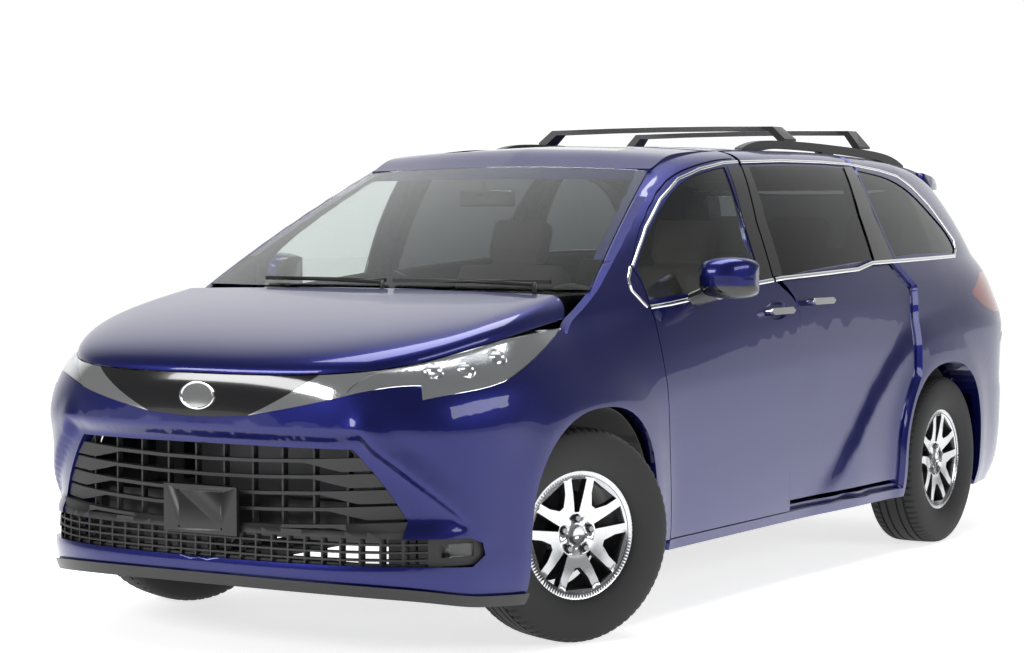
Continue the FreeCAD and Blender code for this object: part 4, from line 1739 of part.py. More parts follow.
def make_wheel_solids():
    """A left wheel about the origin, its outer face towards +Y."""
    r_rim, half = RIM_DIAMETER / 2, RIM_WIDTH / 2
    lip = r_rim + RIM_LIP
    barrel = [(lip, half), (lip, half - RIM_WALL), (r_rim, half - RIM_WALL * 2), (r_rim - RIM_WALL * 2, 0.0),
              (r_rim, -half + RIM_WALL * 2), (lip, -half + RIM_WALL), (lip, -half),
              (r_rim - RIM_WALL * 2, -half), (r_rim - RIM_WALL * 3, 0.0), (r_rim - RIM_WALL * 2, half)]
    face_y = half - SPOKE_FACE_INSET
    hub_low = -half * HUB_SHARE
    bore_r = SPINDLE_RADIUS + BEARING_GAP
    cap_y = face_y - CAP_INSET
    face = [(0.0, cap_y), (CAP_RADIUS, cap_y), (CAP_RADIUS, face_y - CAP_INSET / 2), (HUB_RADIUS, face_y - CAP_INSET / 2),
            (r_rim * 0.62, face_y + SPOKE_CROWN), (r_rim - RIM_WALL, half - RIM_WALL / 2), (r_rim - RIM_WALL, half - SPOKE_DEPTH),
            (r_rim * 0.62, face_y + SPOKE_CROWN - SPOKE_DEPTH), (HUB_RADIUS, face_y - SPOKE_DEPTH * 1.2), (HUB_RADIUS, hub_low), (0.0, hub_low)]
    wheel = revolved(barrel).fuse(revolved(face))
    windows = []
    for k in range(SPOKE_COUNT):
        middle = 90.0 + 360.0 * k / SPOKE_COUNT
        windows.append(wheel_prism(POCKET_SHARES, middle))
        windows.append(wheel_prism(WINDOW_SHARES, middle + 180.0 / SPOKE_COUNT))
    wheel = wheel.cut(Part.makeCompound(windows))
    disc = revolved([(DISC_RADIUS, hub_low - DISC_THICKNESS), (DISC_RADIUS, hub_low), (bore_r, hub_low),
                     (bore_r, hub_low - DISC_THICKNESS)])
    bore = Part.makeCylinder(bore_r, half * 1.2, V(0, -half * 0.9, 0), V(0, 1, 0))
    wheel = wheel.fuse(disc).cut(bore)
    wells = []
    nuts = []
    for k in range(SPOKE_COUNT):
        a, b = polar(BOLT_CIRCLE / 2, 90.0 + 360.0 * k / SPOKE_COUNT)
        wells.append(Part.makeCylinder(NUT_WELL, half, V(a, face_y - NUT_DEPTH, b), V(0, 1, 0)))
        nuts.append(Part.makeCylinder(NUT_RADIUS, NUT_DEPTH, V(a, face_y - NUT_DEPTH * 1.5, b), V(0, 1, 0)))
    wheel = wheel.cut(Part.makeCompound(wells)).multiFuse(nuts)
    tread, side_r = TYRE_DIAMETER / 2, TYRE_WIDTH / 2
    bead = r_rim + SEAT_GAP
    outer = [(tread - drop, side_r * share) for drop, share in TYRE_PROFILE]
    inner = [(bead + BEAD_RISE, side_r * 0.97), (lip + MOVING_GAP / 2, half + MOVING_GAP / 2), (lip + SEAT_GAP, half - RIM_WALL - SEAT_GAP),
             (bead, half - RIM_WALL * 2 - SEAT_GAP)]
    left = [(tread, 0.0)] + outer + inner
    right = [(r, -w) for r, w in reversed(outer + inner)]
    return wheel, revolved(left + right)


def place_wheel(shape, x, side, steer):
    placed = shape.copy()
    if side < 0:
        placed.rotate(V(0, 0, 0), V(0, 0, 1), 180)
    placed.translate(V(x, side * WHEEL_Y, AXLE_HEIGHT))
    if steer:
        placed.rotate(V(x, side * KINGPIN_Y, 0), V(0, 0, 1), steer)
    return placed


def make_wheels():
    wheel, tyre = make_wheel_solids()
    for end, x, steer in (("front", FRONT_AXLE, REST_STEER), ("rear", REAR_AXLE, 0.0)):
        for name, side in (("left", 1), ("right", -1)):
            save("rim_%s_%s" % (end, name), place_wheel(wheel, x, side, steer))
            save("tyre_%s_%s" % (end, name), place_wheel(tyre, x, side, steer))


def make_knuckles():
    half = RIM_WIDTH / 2
    back = WHEEL_Y - half * HUB_SHARE - DISC_THICKNESS - MOVING_GAP
    top = AXLE_HEIGHT + KNUCKLE_DROP
    bottom = AXLE_HEIGHT - KNUCKLE_DROP
    stub = rod((0, back - KNUCKLE_DEPTH / 2, AXLE_HEIGHT), (0, WHEEL_Y + half * HUB_SHARE, AXLE_HEIGHT), SPINDLE_RADIUS)
    upright = box((-KNUCKLE_HALF, back - KNUCKLE_DEPTH, bottom), (KNUCKLE_HALF, back, top))
    bridge = box((-KNUCKLE_HALF / 2, STRUT_Y, AXLE_HEIGHT), (KNUCKLE_HALF / 2, back, top))
    strut = rod((0, STRUT_Y, AXLE_HEIGHT), (0, STRUT_Y, STRUT_TOP), STRUT_RADIUS)
    spring = rod((0, STRUT_Y, SPRING_LOW), (0, STRUT_Y, STRUT_TOP), STRUT_RADIUS * SPRING_SHARE)
    pin = rod((0, KINGPIN_Y, bottom - KNUCKLE_DEPTH / 2), (0, KINGPIN_Y, AXLE_HEIGHT), PIN_RADIUS)
    knuckle = fused([stub, upright, bridge, strut, spring, pin])
    knuckle.translate(V(FRONT_AXLE, 0, 0))
    for name, side in (("left", 1), ("right", -1)):
        piece = knuckle.copy() if side > 0 else mirrored(knuckle)
        piece.rotate(V(FRONT_AXLE, side * KINGPIN_Y, 0), V(0, 0, 1), REST_STEER)
        save("knuckle_%s" % name, piece)
    arm_top = bottom - KNUCKLE_DEPTH / 2 - MOVING_GAP
    arm_low = arm_top - ARM_HEIGHT
    parts = []
    for side in (1, -1):
        y0, y1 = sorted((side * SUBFRAME_HALF, side * KINGPIN_Y))
        parts.append(box((FRONT_AXLE - ARM_HALF, y0, arm_low), (FRONT_AXLE + ARM_HALF, y1, arm_top)))
    rear = FIREWALL_X + SEAT_GAP
    front = FRONT_AXLE + SUBFRAME_HALF
    cradle = box((rear, -SUBFRAME_HALF, arm_low), (front, SUBFRAME_HALF, arm_low + SUBFRAME_HEIGHT))
    inner = SUBFRAME_HALF - SUBFRAME_HEIGHT
    parts.append(cradle.cut(box((rear + SUBFRAME_HEIGHT, -inner, 0), (front - SUBFRAME_HEIGHT, inner, ROOF_HEIGHT))))
    for x in (rear, front - RAIL_SIZE):
        for side in (1, -1):
            y0, y1 = sorted((side * (SUBFRAME_HALF - SUBFRAME_HEIGHT / 2), side * (RAIL_INNER_Y + RAIL_SIZE)))
            parts.append(box((x, y0, arm_low), (x + RAIL_SIZE, y1, RAIL_Z - SEAT_GAP)))
    save("front_subframe", fused(parts))


def make_underbody():
    beam_y = WHEEL_Y - RIM_WIDTH * HUB_SHARE / 2 - DISC_THICKNESS - MOVING_GAP
    beam = box((REAR_AXLE - BEAM_HALF, -beam_y, AXLE_HEIGHT - BEAM_HALF), (REAR_AXLE + BEAM_HALF, beam_y, AXLE_HEIGHT + BEAM_HALF))
    parts = [beam]
    for side in (1, -1):
        parts.append(rod((REAR_AXLE, side * (beam_y - OVERRUN), AXLE_HEIGHT), (REAR_AXLE, side * (WHEEL_Y + RIM_WIDTH * HUB_SHARE / 2), AXLE_HEIGHT), SPINDLE_RADIUS))
    beam = fused(parts)
    floor_low = FLOOR_TOP - FLOOR_DEPTH
    save("rear_axle", beam)
    engine = box((ENGINE_REAR_X, -ENGINE_HALF, ENGINE_LOW), (ENGINE_FRONT_X, ENGINE_HALF, ENGINE_TOP))
    save("engine_block", engine)
    tank = rounded_box((TANK_REAR_X, -TANK_HALF, TANK_LOW), (TANK_FRONT_X, TANK_HALF * 0.3, floor_low - SEAT_GAP), OVERRUN / 2)
    save("fuel_tank", tank)


make_roof()
make_windshield()
make_hood()
make_front()
make_doors()
make_fenders()
make_rear()
make_body_sides()
make_floor()
make_front_frame()
make_liners()
make_cowl()
make_dashboard()
make_steering_wheel()
make_seats()
make_rack()
make_mirrors()
make_wipers()
make_cabin_mirror()
make_exhaust()
make_wheels()
make_knuckles()
make_underbody()
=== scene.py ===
import json
import math

import bmesh
import bpy
from mathutils import Matrix, Quaternion, Vector
from mathutils.bvhtree import BVHTree
from mathutils.interpolate import poly_3d_calc


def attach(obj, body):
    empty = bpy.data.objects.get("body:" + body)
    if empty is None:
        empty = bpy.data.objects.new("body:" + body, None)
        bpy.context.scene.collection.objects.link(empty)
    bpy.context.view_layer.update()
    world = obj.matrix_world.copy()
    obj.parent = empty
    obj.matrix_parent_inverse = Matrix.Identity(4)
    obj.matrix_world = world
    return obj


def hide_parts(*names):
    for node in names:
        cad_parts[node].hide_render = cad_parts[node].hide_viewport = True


# Looks of the family minivan. The frame's metres hold here; the outer surface is worked out in
# millimetres from the same tables as the part, and scaled by MM where it meets the scene.

MM = 0.001
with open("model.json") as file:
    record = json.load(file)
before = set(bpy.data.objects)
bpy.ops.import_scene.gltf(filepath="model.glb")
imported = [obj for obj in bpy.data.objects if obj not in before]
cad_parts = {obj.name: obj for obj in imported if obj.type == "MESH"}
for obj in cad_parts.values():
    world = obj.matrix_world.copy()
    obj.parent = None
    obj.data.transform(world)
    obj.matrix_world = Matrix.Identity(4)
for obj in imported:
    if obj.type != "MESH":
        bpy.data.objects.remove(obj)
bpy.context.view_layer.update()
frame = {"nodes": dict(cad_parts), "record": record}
V = Vector

LENGTH = 5174.0
WHEELBASE = 3060.0
FRONT_OVERHANG = 965.0
ROOF_HEIGHT = 1742.0
FLANK_HALF_WIDTH = 975.0
HALF_LENGTH = LENGTH / 2
FRONT_AXLE = HALF_LENGTH - FRONT_OVERHANG
REAR_AXLE = FRONT_AXLE - WHEELBASE

# Wheel arches
ARCH_HALF_LENGTH = 417.0
ARCH_RISE = 404.0
ARCH_BASE = 397.0
ARCH_POWER = 2.4
FRONT_ARCH_SHIFT = -12.0
REAR_ARCH_SHIFT = 10.0
FLARE = 15.0
FLARE_REACH = 95.0

HAUNCH = 24.0
HAUNCH_WIDTH = 130.0
PILLAR_WRAP = 94.0
PILLAR_REACH = 120.0

# The corners in plan, as superellipses
FRONT_CORNER_START = 80.0
REAR_CORNER_START = 60.0
FRONT_CORNER_POWER = 3.3
REAR_CORNER_POWER = 4.1

# Height of the belt line along the body
BELT_SHARES = [(-1.0050, 0.7245), (-0.6250, 0.7256), (-0.2760, 0.7170), (0.1345, 0.6831),
    (0.4813, 0.6493), (0.6765, 0.6251), (0.8504, 0.5884), (0.9382, 0.5574),
    (1.0000, 0.5396)]
# Height of the roof along its middle
ROOF_SHARES = [(-0.9007, 0.9185), (-0.8697, 0.9346), (-0.8118, 0.9501), (-0.6571, 0.9747),
    (-0.4639, 0.9914), (-0.2319, 0.9994), (0.0000, 0.9977), (0.0966, 0.9943),
    (0.1902, 0.9839), (0.2540, 0.9501), (0.2860, 0.9288)]
# Height that the sides aim for, which carries on over the windshield
SIDE_ROOF_SHARES = [(-1.0050, 0.8955), (-0.8697, 0.9346), (-0.8118, 0.9501), (-0.6571, 0.9747),
    (-0.4639, 0.9914), (-0.2319, 0.9994), (0.0000, 0.9977), (0.0966, 0.9943),
    (0.1902, 0.9851), (0.2540, 0.9759), (0.5798, 0.9472)]
# Where the nose and the tail stand at each height, as (height, length) shares
NOSE_SHARES = [(0.0976, 0.9780), (0.1435, 0.9919), (0.1808, 0.9975), (0.2181, 0.9905),
    (0.2583, 0.9880), (0.3444, 0.9896), (0.4018, 0.9927), (0.4478, 0.9988),
    (0.4994, 0.9973), (0.5396, 0.9927), (0.5741, 0.9741)]
TAIL_SHARES = [(0.0976, -0.9432), (0.1493, -0.9702), (0.2067, -0.9915), (0.2698, -1.0000),
    (0.3559, -0.9973), (0.4018, -0.9838), (0.4879, -0.9799), (0.5741, -0.9780),
    (0.6602, -0.9722), (0.7245, -0.9548), (0.8324, -0.9161), (0.9185, -0.8775),
    (0.9759, -0.8504)]
# Half width below the belt, as (share of the belt height, share of the flank's half width)
LOWER_SHARES = [(0.14, 0.915), (0.20, 0.950), (0.27, 0.966), (0.36, 0.972), (0.50, 0.980), (0.62, 0.989),
                (0.74, 0.997), (0.84, 0.992), (0.92, 0.975), (1.00, 0.945)]
# Half width above the belt, as (share of the way from belt to roof, share of the belt's half width)
UPPER_SHARES = [(0.0, 1.0), (0.20, 0.963), (0.40, 0.922), (0.60, 0.874), (0.75, 0.833), (0.86, 0.793),
                (0.915, 0.750), (0.945, 0.691)]
# Roof across, from the ditch to the middle, as (share of the belt's half width, share of the rise)
CROWN_SHARES = [(0.0, 1.0), (0.319, 0.985), (0.532, 0.965), (0.691, 0.945)]
# Half width at the belt along the body, as (length, width) shares
BELT_WIDTH_SHARES = [(-1.0050, 0.8472), (-0.7731, 0.8903), (-0.5412, 0.9313), (-0.3092, 0.9559),
    (-0.0773, 0.9641), (0.1546, 0.9559), (0.3865, 0.9313), (0.5798, 0.8974),
    (0.6765, 0.8769), (1.0050, 0.8667)]
# Upper edge of the rear wing's swelling
HAUNCH_SHARES = [(-1.0050, 0.6372), (-0.7039, 0.6280), (-0.5493, 0.6022), (-0.4237, 0.5700),
    (-0.2833, 0.4414), (-0.2161, 0.3490), (-0.1171, 0.2400), (-0.0147, 0.1728),
    (0.0773, 0.1378)]

MOVING_GAP = 5.0
TAILGATE_SEAM_X = -2045.0
HOOD_REAR_X = 1612.0
HOOD_REAR_Z = 1194.0
HOOD_REAR_DROP = 12.0
HOOD_TAPER = 0.93

SCOOP_DEPTH = 26.0
SCOOP_EDGE = 42.0
SCOOP_LEDGE = 60.0
SCOOP_FLOOR = 425.0
RIDGE_RISE = 9.0
RIDGE_WIDTH = 75.0
# Upper edge of the scoop and its ridge, seen along the corner's diagonal, as shares of the half length
SCOOP_TOP_SHARES = [(-0.8200, 0.2948), (-0.5619, 0.2945), (-0.5176, 0.2978)]
SCOOP_RIDGE_SHARES = [(-0.5176, 0.2978), (-0.5041, 0.2790), (-0.4495, 0.2370), (-0.4113, 0.2078),
                      (-0.3800, 0.1820), (-0.3640, 0.1640)]

SCOOP_CLOSE_SHARES = [(-0.3640, 0.1000), (-0.8200, 0.1000)]

WINDSHIELD_FOOT_X = 1585.0
WINDSHIELD_FOOT_Y = 851.0
WINDSHIELD_FOOT_Z = 1190.0
WINDSHIELD_FOOT_SWEEP = 130.0
WINDSHIELD_HEAD_X = 704.0
WINDSHIELD_HEAD_Y = 640.0
WINDSHIELD_HEAD_Z = 1642.0
WINDSHIELD_HEAD_SWEEP = 47.0
WINDSHIELD_DROP = 19.0
WINDSHIELD_BULGE = 10.0


def smooth(points, place):
    """A smooth curve through (place, value) pairs that never overshoots them."""
    last = len(points) - 1
    if place <= points[0][0]:
        (a, fa), (b, fb) = points[0], points[1]
        return fa + (fb - fa) * (place - a) / (b - a)
    if place >= points[last][0]:
        (a, fa), (b, fb) = points[last - 1], points[last]
        return fb + (fb - fa) * (place - b) / (b - a)
    rises = [(points[i + 1][1] - points[i][1]) / (points[i + 1][0] - points[i][0]) for i in range(last)]
    slopes = [rises[0]]
    for before, after in zip(rises, rises[1:]):
        slopes.append(0.0 if before * after <= 0 else 2 * before * after / (before + after))
    slopes.append(rises[-1])
    k = 0
    while place > points[k + 1][0]:
        k += 1
    run = points[k + 1][0] - points[k][0]
    t = (place - points[k][0]) / run
    return ((2 * t ** 3 - 3 * t * t + 1) * points[k][1] + (t ** 3 - 2 * t * t + t) * run * slopes[k]
            + (3 * t * t - 2 * t ** 3) * points[k + 1][1] + (t ** 3 - t * t) * run * slopes[k + 1])


def scaled(shares, first, second):
    """Pairs of shares as pairs of millimetres."""
    return [(a * first, b * second) for a, b in shares]


def side_points(shares):
    """Points seen from the side, as (length, height)."""
    return scaled(shares, HALF_LENGTH, ROOF_HEIGHT)


BELT = side_points(BELT_SHARES)
ROOF = side_points(ROOF_SHARES)
SIDE_ROOF = side_points(SIDE_ROOF_SHARES)
NOSE = scaled(NOSE_SHARES, ROOF_HEIGHT, HALF_LENGTH)
TAIL = scaled(TAIL_SHARES, ROOF_HEIGHT, HALF_LENGTH)
BELT_WIDTH = scaled(BELT_WIDTH_SHARES, HALF_LENGTH, FLANK_HALF_WIDTH)
HAUNCH_LINE = side_points(HAUNCH_SHARES)
FRONT_CORNER_X = FRONT_AXLE + FRONT_CORNER_START
REAR_CORNER_X = REAR_AXLE - REAR_CORNER_START


# The outer surface

def corner_share(place):
    """Share of the full width at a place along the body, before the ends are shaped."""
    if place > FRONT_CORNER_X:
        t = min((place - FRONT_CORNER_X) / (HALF_LENGTH - FRONT_CORNER_X), 1.0)
        return (1 - t ** FRONT_CORNER_POWER) ** (1 / FRONT_CORNER_POWER)
    if place < REAR_CORNER_X:
        t = min((REAR_CORNER_X - place) / (HALF_LENGTH + REAR_CORNER_X), 1.0)
        return (1 - t ** REAR_CORNER_POWER) ** (1 / REAR_CORNER_POWER)
    return 1.0


def real_length(place, height):
    """Where a place along the body comes to lie once the nose or the tail is shaped."""
    if place > FRONT_CORNER_X:
        reach = smooth(NOSE, height) - FRONT_CORNER_X
        return FRONT_CORNER_X + reach * (place - FRONT_CORNER_X) / (HALF_LENGTH - FRONT_CORNER_X)
    if place < REAR_CORNER_X:
        reach = REAR_CORNER_X - smooth(TAIL, height)
        return REAR_CORNER_X - reach * (REAR_CORNER_X - place) / (HALF_LENGTH + REAR_CORNER_X)
    return place


def arch_radii(x, z, centre):
    """How far a point seen from the side lies from a wheel arch's centre, in arch radii."""
    across = abs(x - centre) / ARCH_HALF_LENGTH
    up = max(z - ARCH_BASE, 0.0) / ARCH_RISE
    return (across ** ARCH_POWER + up ** ARCH_POWER) ** (1 / ARCH_POWER)


FRONT_ARCH_X = FRONT_AXLE + FRONT_ARCH_SHIFT
REAR_ARCH_X = REAR_AXLE + REAR_ARCH_SHIFT


def soft_step(t):
    """Eased way from 0 to 1 as t runs from 0 to 1, level at both ends."""
    t = min(max(t, 0.0), 1.0)
    return t * t * (3 - 2 * t)


def flank_relief(x, z):
    """Outward swelling of the flank: the lips of the wheel arches and the rear wing's haunch."""
    swell = 0.0
    for centre in (FRONT_ARCH_X, REAR_ARCH_X):
        out = max(arch_radii(x, z, centre) - 1.0, 0.0) * ARCH_RISE / FLARE_REACH
        swell += FLARE * math.exp(-out * out)
    below = (smooth(HAUNCH_LINE, x) - z) / HAUNCH_WIDTH
    swell += HAUNCH * soft_step(below) * soft_step(-x / HAUNCH_WIDTH / 5)
    return swell


def windshield_point(across, up):
    """Point of the windshield's outer face: across runs -1..1, up runs 0..1 from cowl to roof."""
    edge = WINDSHIELD_FOOT_Y + (WINDSHIELD_HEAD_Y - WINDSHIELD_FOOT_Y) * up
    sweep = WINDSHIELD_FOOT_SWEEP + (WINDSHIELD_HEAD_SWEEP - WINDSHIELD_FOOT_SWEEP) * up
    x = WINDSHIELD_FOOT_X + (WINDSHIELD_HEAD_X - WINDSHIELD_FOOT_X) * up - sweep * across * across
    z = WINDSHIELD_FOOT_Z + (WINDSHIELD_HEAD_Z - WINDSHIELD_FOOT_Z) * up
    z -= WINDSHIELD_DROP * up * across * across
    bulge = WINDSHIELD_BULGE * 4 * up * (1 - up) if 0 < up < 1 else 0.0
    return V((x + bulge / 2, edge * across, z + bulge))


def windshield_length(height):
    """Length at which the windshield's edge reaches a height."""
    up = (height - WINDSHIELD_FOOT_Z) / (WINDSHIELD_HEAD_Z - WINDSHIELD_DROP - WINDSHIELD_FOOT_Z)
    return windshield_point(1.0, up).x


def corner_points(shares):
    """Points seen along the front corner's diagonal, as (across, height)."""
    return scaled(shares, HALF_LENGTH, HALF_LENGTH)


SCOOP_TOP = corner_points(SCOOP_TOP_SHARES)
SCOOP_RIDGE = corner_points(SCOOP_RIDGE_SHARES)
SCOOP_RIM = SCOOP_TOP[:-1] + SCOOP_RIDGE
SCOOP_OUTLINE = SCOOP_RIM + corner_points(SCOOP_CLOSE_SHARES)


def corner_view(point):
    """Where a point of the front shows along the corner's diagonal, as (across, height)."""
    return (point.y - point.x) / math.sqrt(2), point.z


def distance_to(line, a, b):
    """Shortest distance from a place to a line of points."""
    nearest = math.inf
    for (a0, b0), (a1, b1) in zip(line, line[1:]):
        along = ((a - a0) * (a1 - a0) + (b - b0) * (b1 - b0)) / ((a1 - a0) ** 2 + (b1 - b0) ** 2)
        along = min(max(along, 0.0), 1.0)
        nearest = min(nearest, math.hypot(a - a0 - along * (a1 - a0), b - b0 - along * (b1 - b0)))
    return nearest


def encloses(outline, a, b):
    """Whether a place lies inside a closed outline."""
    inside = False
    for (a0, b0), (a1, b1) in zip(outline, outline[1:] + outline[:1]):
        if (b0 > b) != (b1 > b) and a < a0 + (b - b0) * (a1 - a0) / (b1 - b0):
            inside = not inside
    return inside


def front_relief(point):
    """How far the bumper's skin stands forward of its plain form: a scoop round the mouth and its ridge."""
    a, b = corner_view(point)
    ridge = RIDGE_RISE * soft_step(1 - distance_to(SCOOP_RIDGE, a, b) / RIDGE_WIDTH)
    if not encloses(SCOOP_OUTLINE, a, b):
        return ridge
    inward = soft_step(distance_to(SCOOP_RIM, a, b) / SCOOP_EDGE)
    return ridge - SCOOP_DEPTH * inward * soft_step((b - SCOOP_FLOOR) / SCOOP_LEDGE)


def skin_at(place, share, row):
    """Point of the left outer surface. share is the corner's share of the width at that place;
    row runs 0..1 from the ground to the belt and 1..2 from the belt to the roof."""
    belt = smooth(BELT, place)
    belt_width = smooth(BELT_WIDTH, place)
    if row <= 1:
        z = belt * row
        width = FLANK_HALF_WIDTH * smooth(LOWER_SHARES, row)
        rise = max(row - 0.74, 0.0) / 0.26
        width += (belt_width - FLANK_HALF_WIDTH * LOWER_SHARES[-1][1]) * rise * rise
        x = real_length(place, z)
        width += flank_relief(x, z) * (1 - rise) * share
    else:
        z = belt + (smooth(SIDE_ROOF, place) - belt) * (row - 1)
        width = belt_width * smooth(UPPER_SHARES, row - 1)
        x = real_length(place, z)
        behind = max(windshield_length(z) - x, 0.0)
        if x > 0:
            wrap = PILLAR_WRAP * max(z - WINDSHIELD_FOOT_Z, 0.0) / (WINDSHIELD_HEAD_Z - WINDSHIELD_FOOT_Z)
            width -= wrap * math.exp(-behind / PILLAR_REACH)
    point = V((x, width * share, z))
    if row < 1 and place > FRONT_CORNER_X:
        point.x += front_relief(point)
    return point


def hood_point(place, share, t):
    """Point of the hood's outer face, from its edge at t = 0 to its rear edge at t = 1."""
    edge = skin_at(place, share, 1.0)
    edge.z += MOVING_GAP / 2
    crown = HOOD_REAR_DROP * (edge.y / FLANK_HALF_WIDTH) ** 2
    rear = V((HOOD_REAR_X, edge.y * HOOD_TAPER, HOOD_REAR_Z - crown))
    flat = t * t
    reach = rear - edge
    return V((edge.x + reach.x * flat, edge.y + reach.y * flat, edge.z + reach.z * t))


# Reference surfaces: they give true normals to the panels and places to the trims

# How many steps the surfaces are cut in, along the body and up it
CORNER_STEPS = 110
FLANK_STEPS = 170
SIDE_STEPS = 150
SIDE_LOW_ROW = 0.10
SIDE_ROW_SPAN = 1.845
HOOD_CORNER_STEPS = 90
HOOD_FLANK_STEPS = 10
HOOD_STEPS = 40
ROOF_STEPS = 100
ROOF_CROSS_STEPS = 30
SHIELD_STEPS = 40
SHIELD_CROSS_STEPS = 30
TINY = 1e-6


def grid_faces(columns, rows, first):
    """Four-cornered faces of a grid of points whose first point has a given number."""
    faces = []
    for i in range(columns - 1):
        for j in range(rows - 1):
            near = first + i * rows + j
            far = near + rows
            faces.append((near, far, far + 1, near + 1))
    return faces


def grid_normals(grid, outward):
    """Normal at each point of a grid, turned to the side that outward names."""
    normals = []
    for i, line in enumerate(grid):
        for j in range(len(line)):
            along = grid[min(i + 1, len(grid) - 1)][j] - grid[max(i - 1, 0)][j]
            across = line[min(j + 1, len(line) - 1)] - line[max(j - 1, 0)]
            normal = along.cross(across)
            if normal.length < TINY * MM:
                normal = outward.copy()
            normal.normalize()
            if normal.dot(outward) <= -TINY:
                normal = -normal
            normals.append(normal)
    return normals


def corner_walk(start, end, power, count):
    """Places round a corner of the body in plan, as (length, share of the full width)."""
    walk = []
    for k in range(count):
        angle = math.pi / 2 * k / count
        place = start + (end - start) * math.sin(angle) ** (2 / power)
        walk.append((place, math.cos(angle) ** (2 / power)))
    return walk + [(end, 0.0)]


def side_grid():
    """The left outer surface from the tail's middle to the nose's middle."""
    nose = corner_walk(FRONT_CORNER_X, HALF_LENGTH, FRONT_CORNER_POWER, CORNER_STEPS)
    tail = corner_walk(REAR_CORNER_X, -HALF_LENGTH, REAR_CORNER_POWER, CORNER_STEPS)
    span = FRONT_CORNER_X - REAR_CORNER_X
    flank = [(REAR_CORNER_X + span * k / FLANK_STEPS, 1.0) for k in range(1, FLANK_STEPS)]
    places = list(reversed(tail)) + flank + nose
    rows = [SIDE_LOW_ROW + SIDE_ROW_SPAN * k / SIDE_STEPS for k in range(SIDE_STEPS + 1)]
    return [[skin_at(place, share, row) * MM for row in rows] for place, share in places]


def hood_grid():
    """The left half of the hood's outer face."""
    nose = corner_walk(FRONT_CORNER_X, HALF_LENGTH, FRONT_CORNER_POWER, HOOD_CORNER_STEPS)
    span = FRONT_CORNER_X - HOOD_REAR_X
    flank = [(HOOD_REAR_X + span * k / HOOD_FLANK_STEPS, 1.0) for k in range(HOOD_FLANK_STEPS)]
    rows = [j / HOOD_STEPS for j in range(HOOD_STEPS + 1)]
    return [[hood_point(place, share, row) * MM for row in rows] for place, share in flank + nose]


def roof_grid():
    """The left half of the roof's outer face."""
    ditch = CROWN_SHARES[-1][0]
    lines = []
    for i in range(ROOF_STEPS + 1):
        x = TAILGATE_SEAM_X + (WINDSHIELD_HEAD_X - TAILGATE_SEAM_X) * i / ROOF_STEPS
        width = smooth(BELT_WIDTH, x) * corner_share(x)
        belt = smooth(BELT, x)
        height = smooth(ROOF, x) - belt
        line = []
        for j in range(ROOF_CROSS_STEPS + 1):
            across = ditch * (1 - j / ROOF_CROSS_STEPS)
            line.append(V((x, width * across, belt + height * smooth(CROWN_SHARES, across))) * MM)
        lines.append(line)
    return lines


def windshield_grid():
    """The left half of the windshield's outer face."""
    columns = [i / SHIELD_CROSS_STEPS for i in range(SHIELD_CROSS_STEPS + 1)]
    rows = [j / SHIELD_STEPS for j in range(SHIELD_STEPS + 1)]
    return [[windshield_point(across, up) * MM for up in rows] for across in columns]


def mirrored_grid(grid):
    """A left grid's twin on the right."""
    return [[V((p.x, -p.y, p.z)) for p in line] for line in grid]


def reference(grid, outward):
    """A left grid and its twin as one surface: a search tree, points, faces and normals."""
    points, faces, normals = [], [], []
    for flip in (False, True):
        way = V((outward.x, -outward.y, outward.z)) if flip else outward
        lines = mirrored_grid(grid) if flip else grid
        faces += grid_faces(len(lines), len(lines[0]), len(points))
        normals += grid_normals(lines, way)
        points += [p for line in lines for p in line]
    return BVHTree.FromPolygons(points, faces), points, faces, normals


def nearest(surface, place, reach):
    """(point, normal) of a reference surface nearest a place, or None."""
    tree, points, faces, normals = surface
    spot, _, index, _ = tree.find_nearest(place, reach)
    if spot is None:
        return None
    corners = faces[index]
    weights = poly_3d_calc([points[c] for c in corners], spot)
    normal = V((0, 0, 0))
    for weight, c in zip(weights, corners):
        normal += normals[c] * weight
    return spot, normal.normalized()


OUT_OF_SIDE = V((0.02, 1, 0.3))
OUT_OF_TOP = V((0, 0.01, 1))
OUT_OF_SHIELD = V((0.5, 0.01, 1))
SIDES = reference(side_grid(), OUT_OF_SIDE)
HOOD = reference(hood_grid(), OUT_OF_TOP)
ROOF_TOP = reference(roof_grid(), OUT_OF_TOP)
SHIELD = reference(windshield_grid(), OUT_OF_SHIELD)


# Materials

GRAIN_DEPTH = 0.001
FLAKE_SCALE = 900.0
FLAKE_ROUGHNESS = (0.30, 0.42)
GLASS_IOR = 1.45


def new_material(name):
    """An empty material with its nodes, its links and its shader."""
    material = bpy.data.materials.new(name)
    material.use_nodes = True
    tree = material.node_tree
    return material, tree.nodes, tree.links, tree.nodes["Principled BSDF"]


def set_all(shader, **values):
    """Set a shader's values by their names."""
    for name, value in values.items():
        shader.inputs[name.replace("_", " ")].default_value = value


def plain(name, colour, roughness, metallic=0.0, coat=0.0, grain=0.0, grain_scale=400.0):
    """One colour, with a fine grain where the real surface has one."""
    material, nodes, links, shader = new_material(name)
    set_all(shader, Base_Color=(*colour, 1), Roughness=roughness, Metallic=metallic, Coat_Weight=coat)
    if grain:
        place = nodes.new("ShaderNodeTexCoord")
        noise = nodes.new("ShaderNodeTexNoise")
        bump = nodes.new("ShaderNodeBump")
        noise.inputs["Scale"].default_value = grain_scale
        bump.inputs["Strength"].default_value = grain
        bump.inputs["Distance"].default_value = GRAIN_DEPTH
        links.new(place.outputs["Object"], noise.inputs["Vector"])
        links.new(noise.outputs["Fac"], bump.inputs["Height"])
        links.new(bump.outputs["Normal"], shader.inputs["Normal"])
    return material


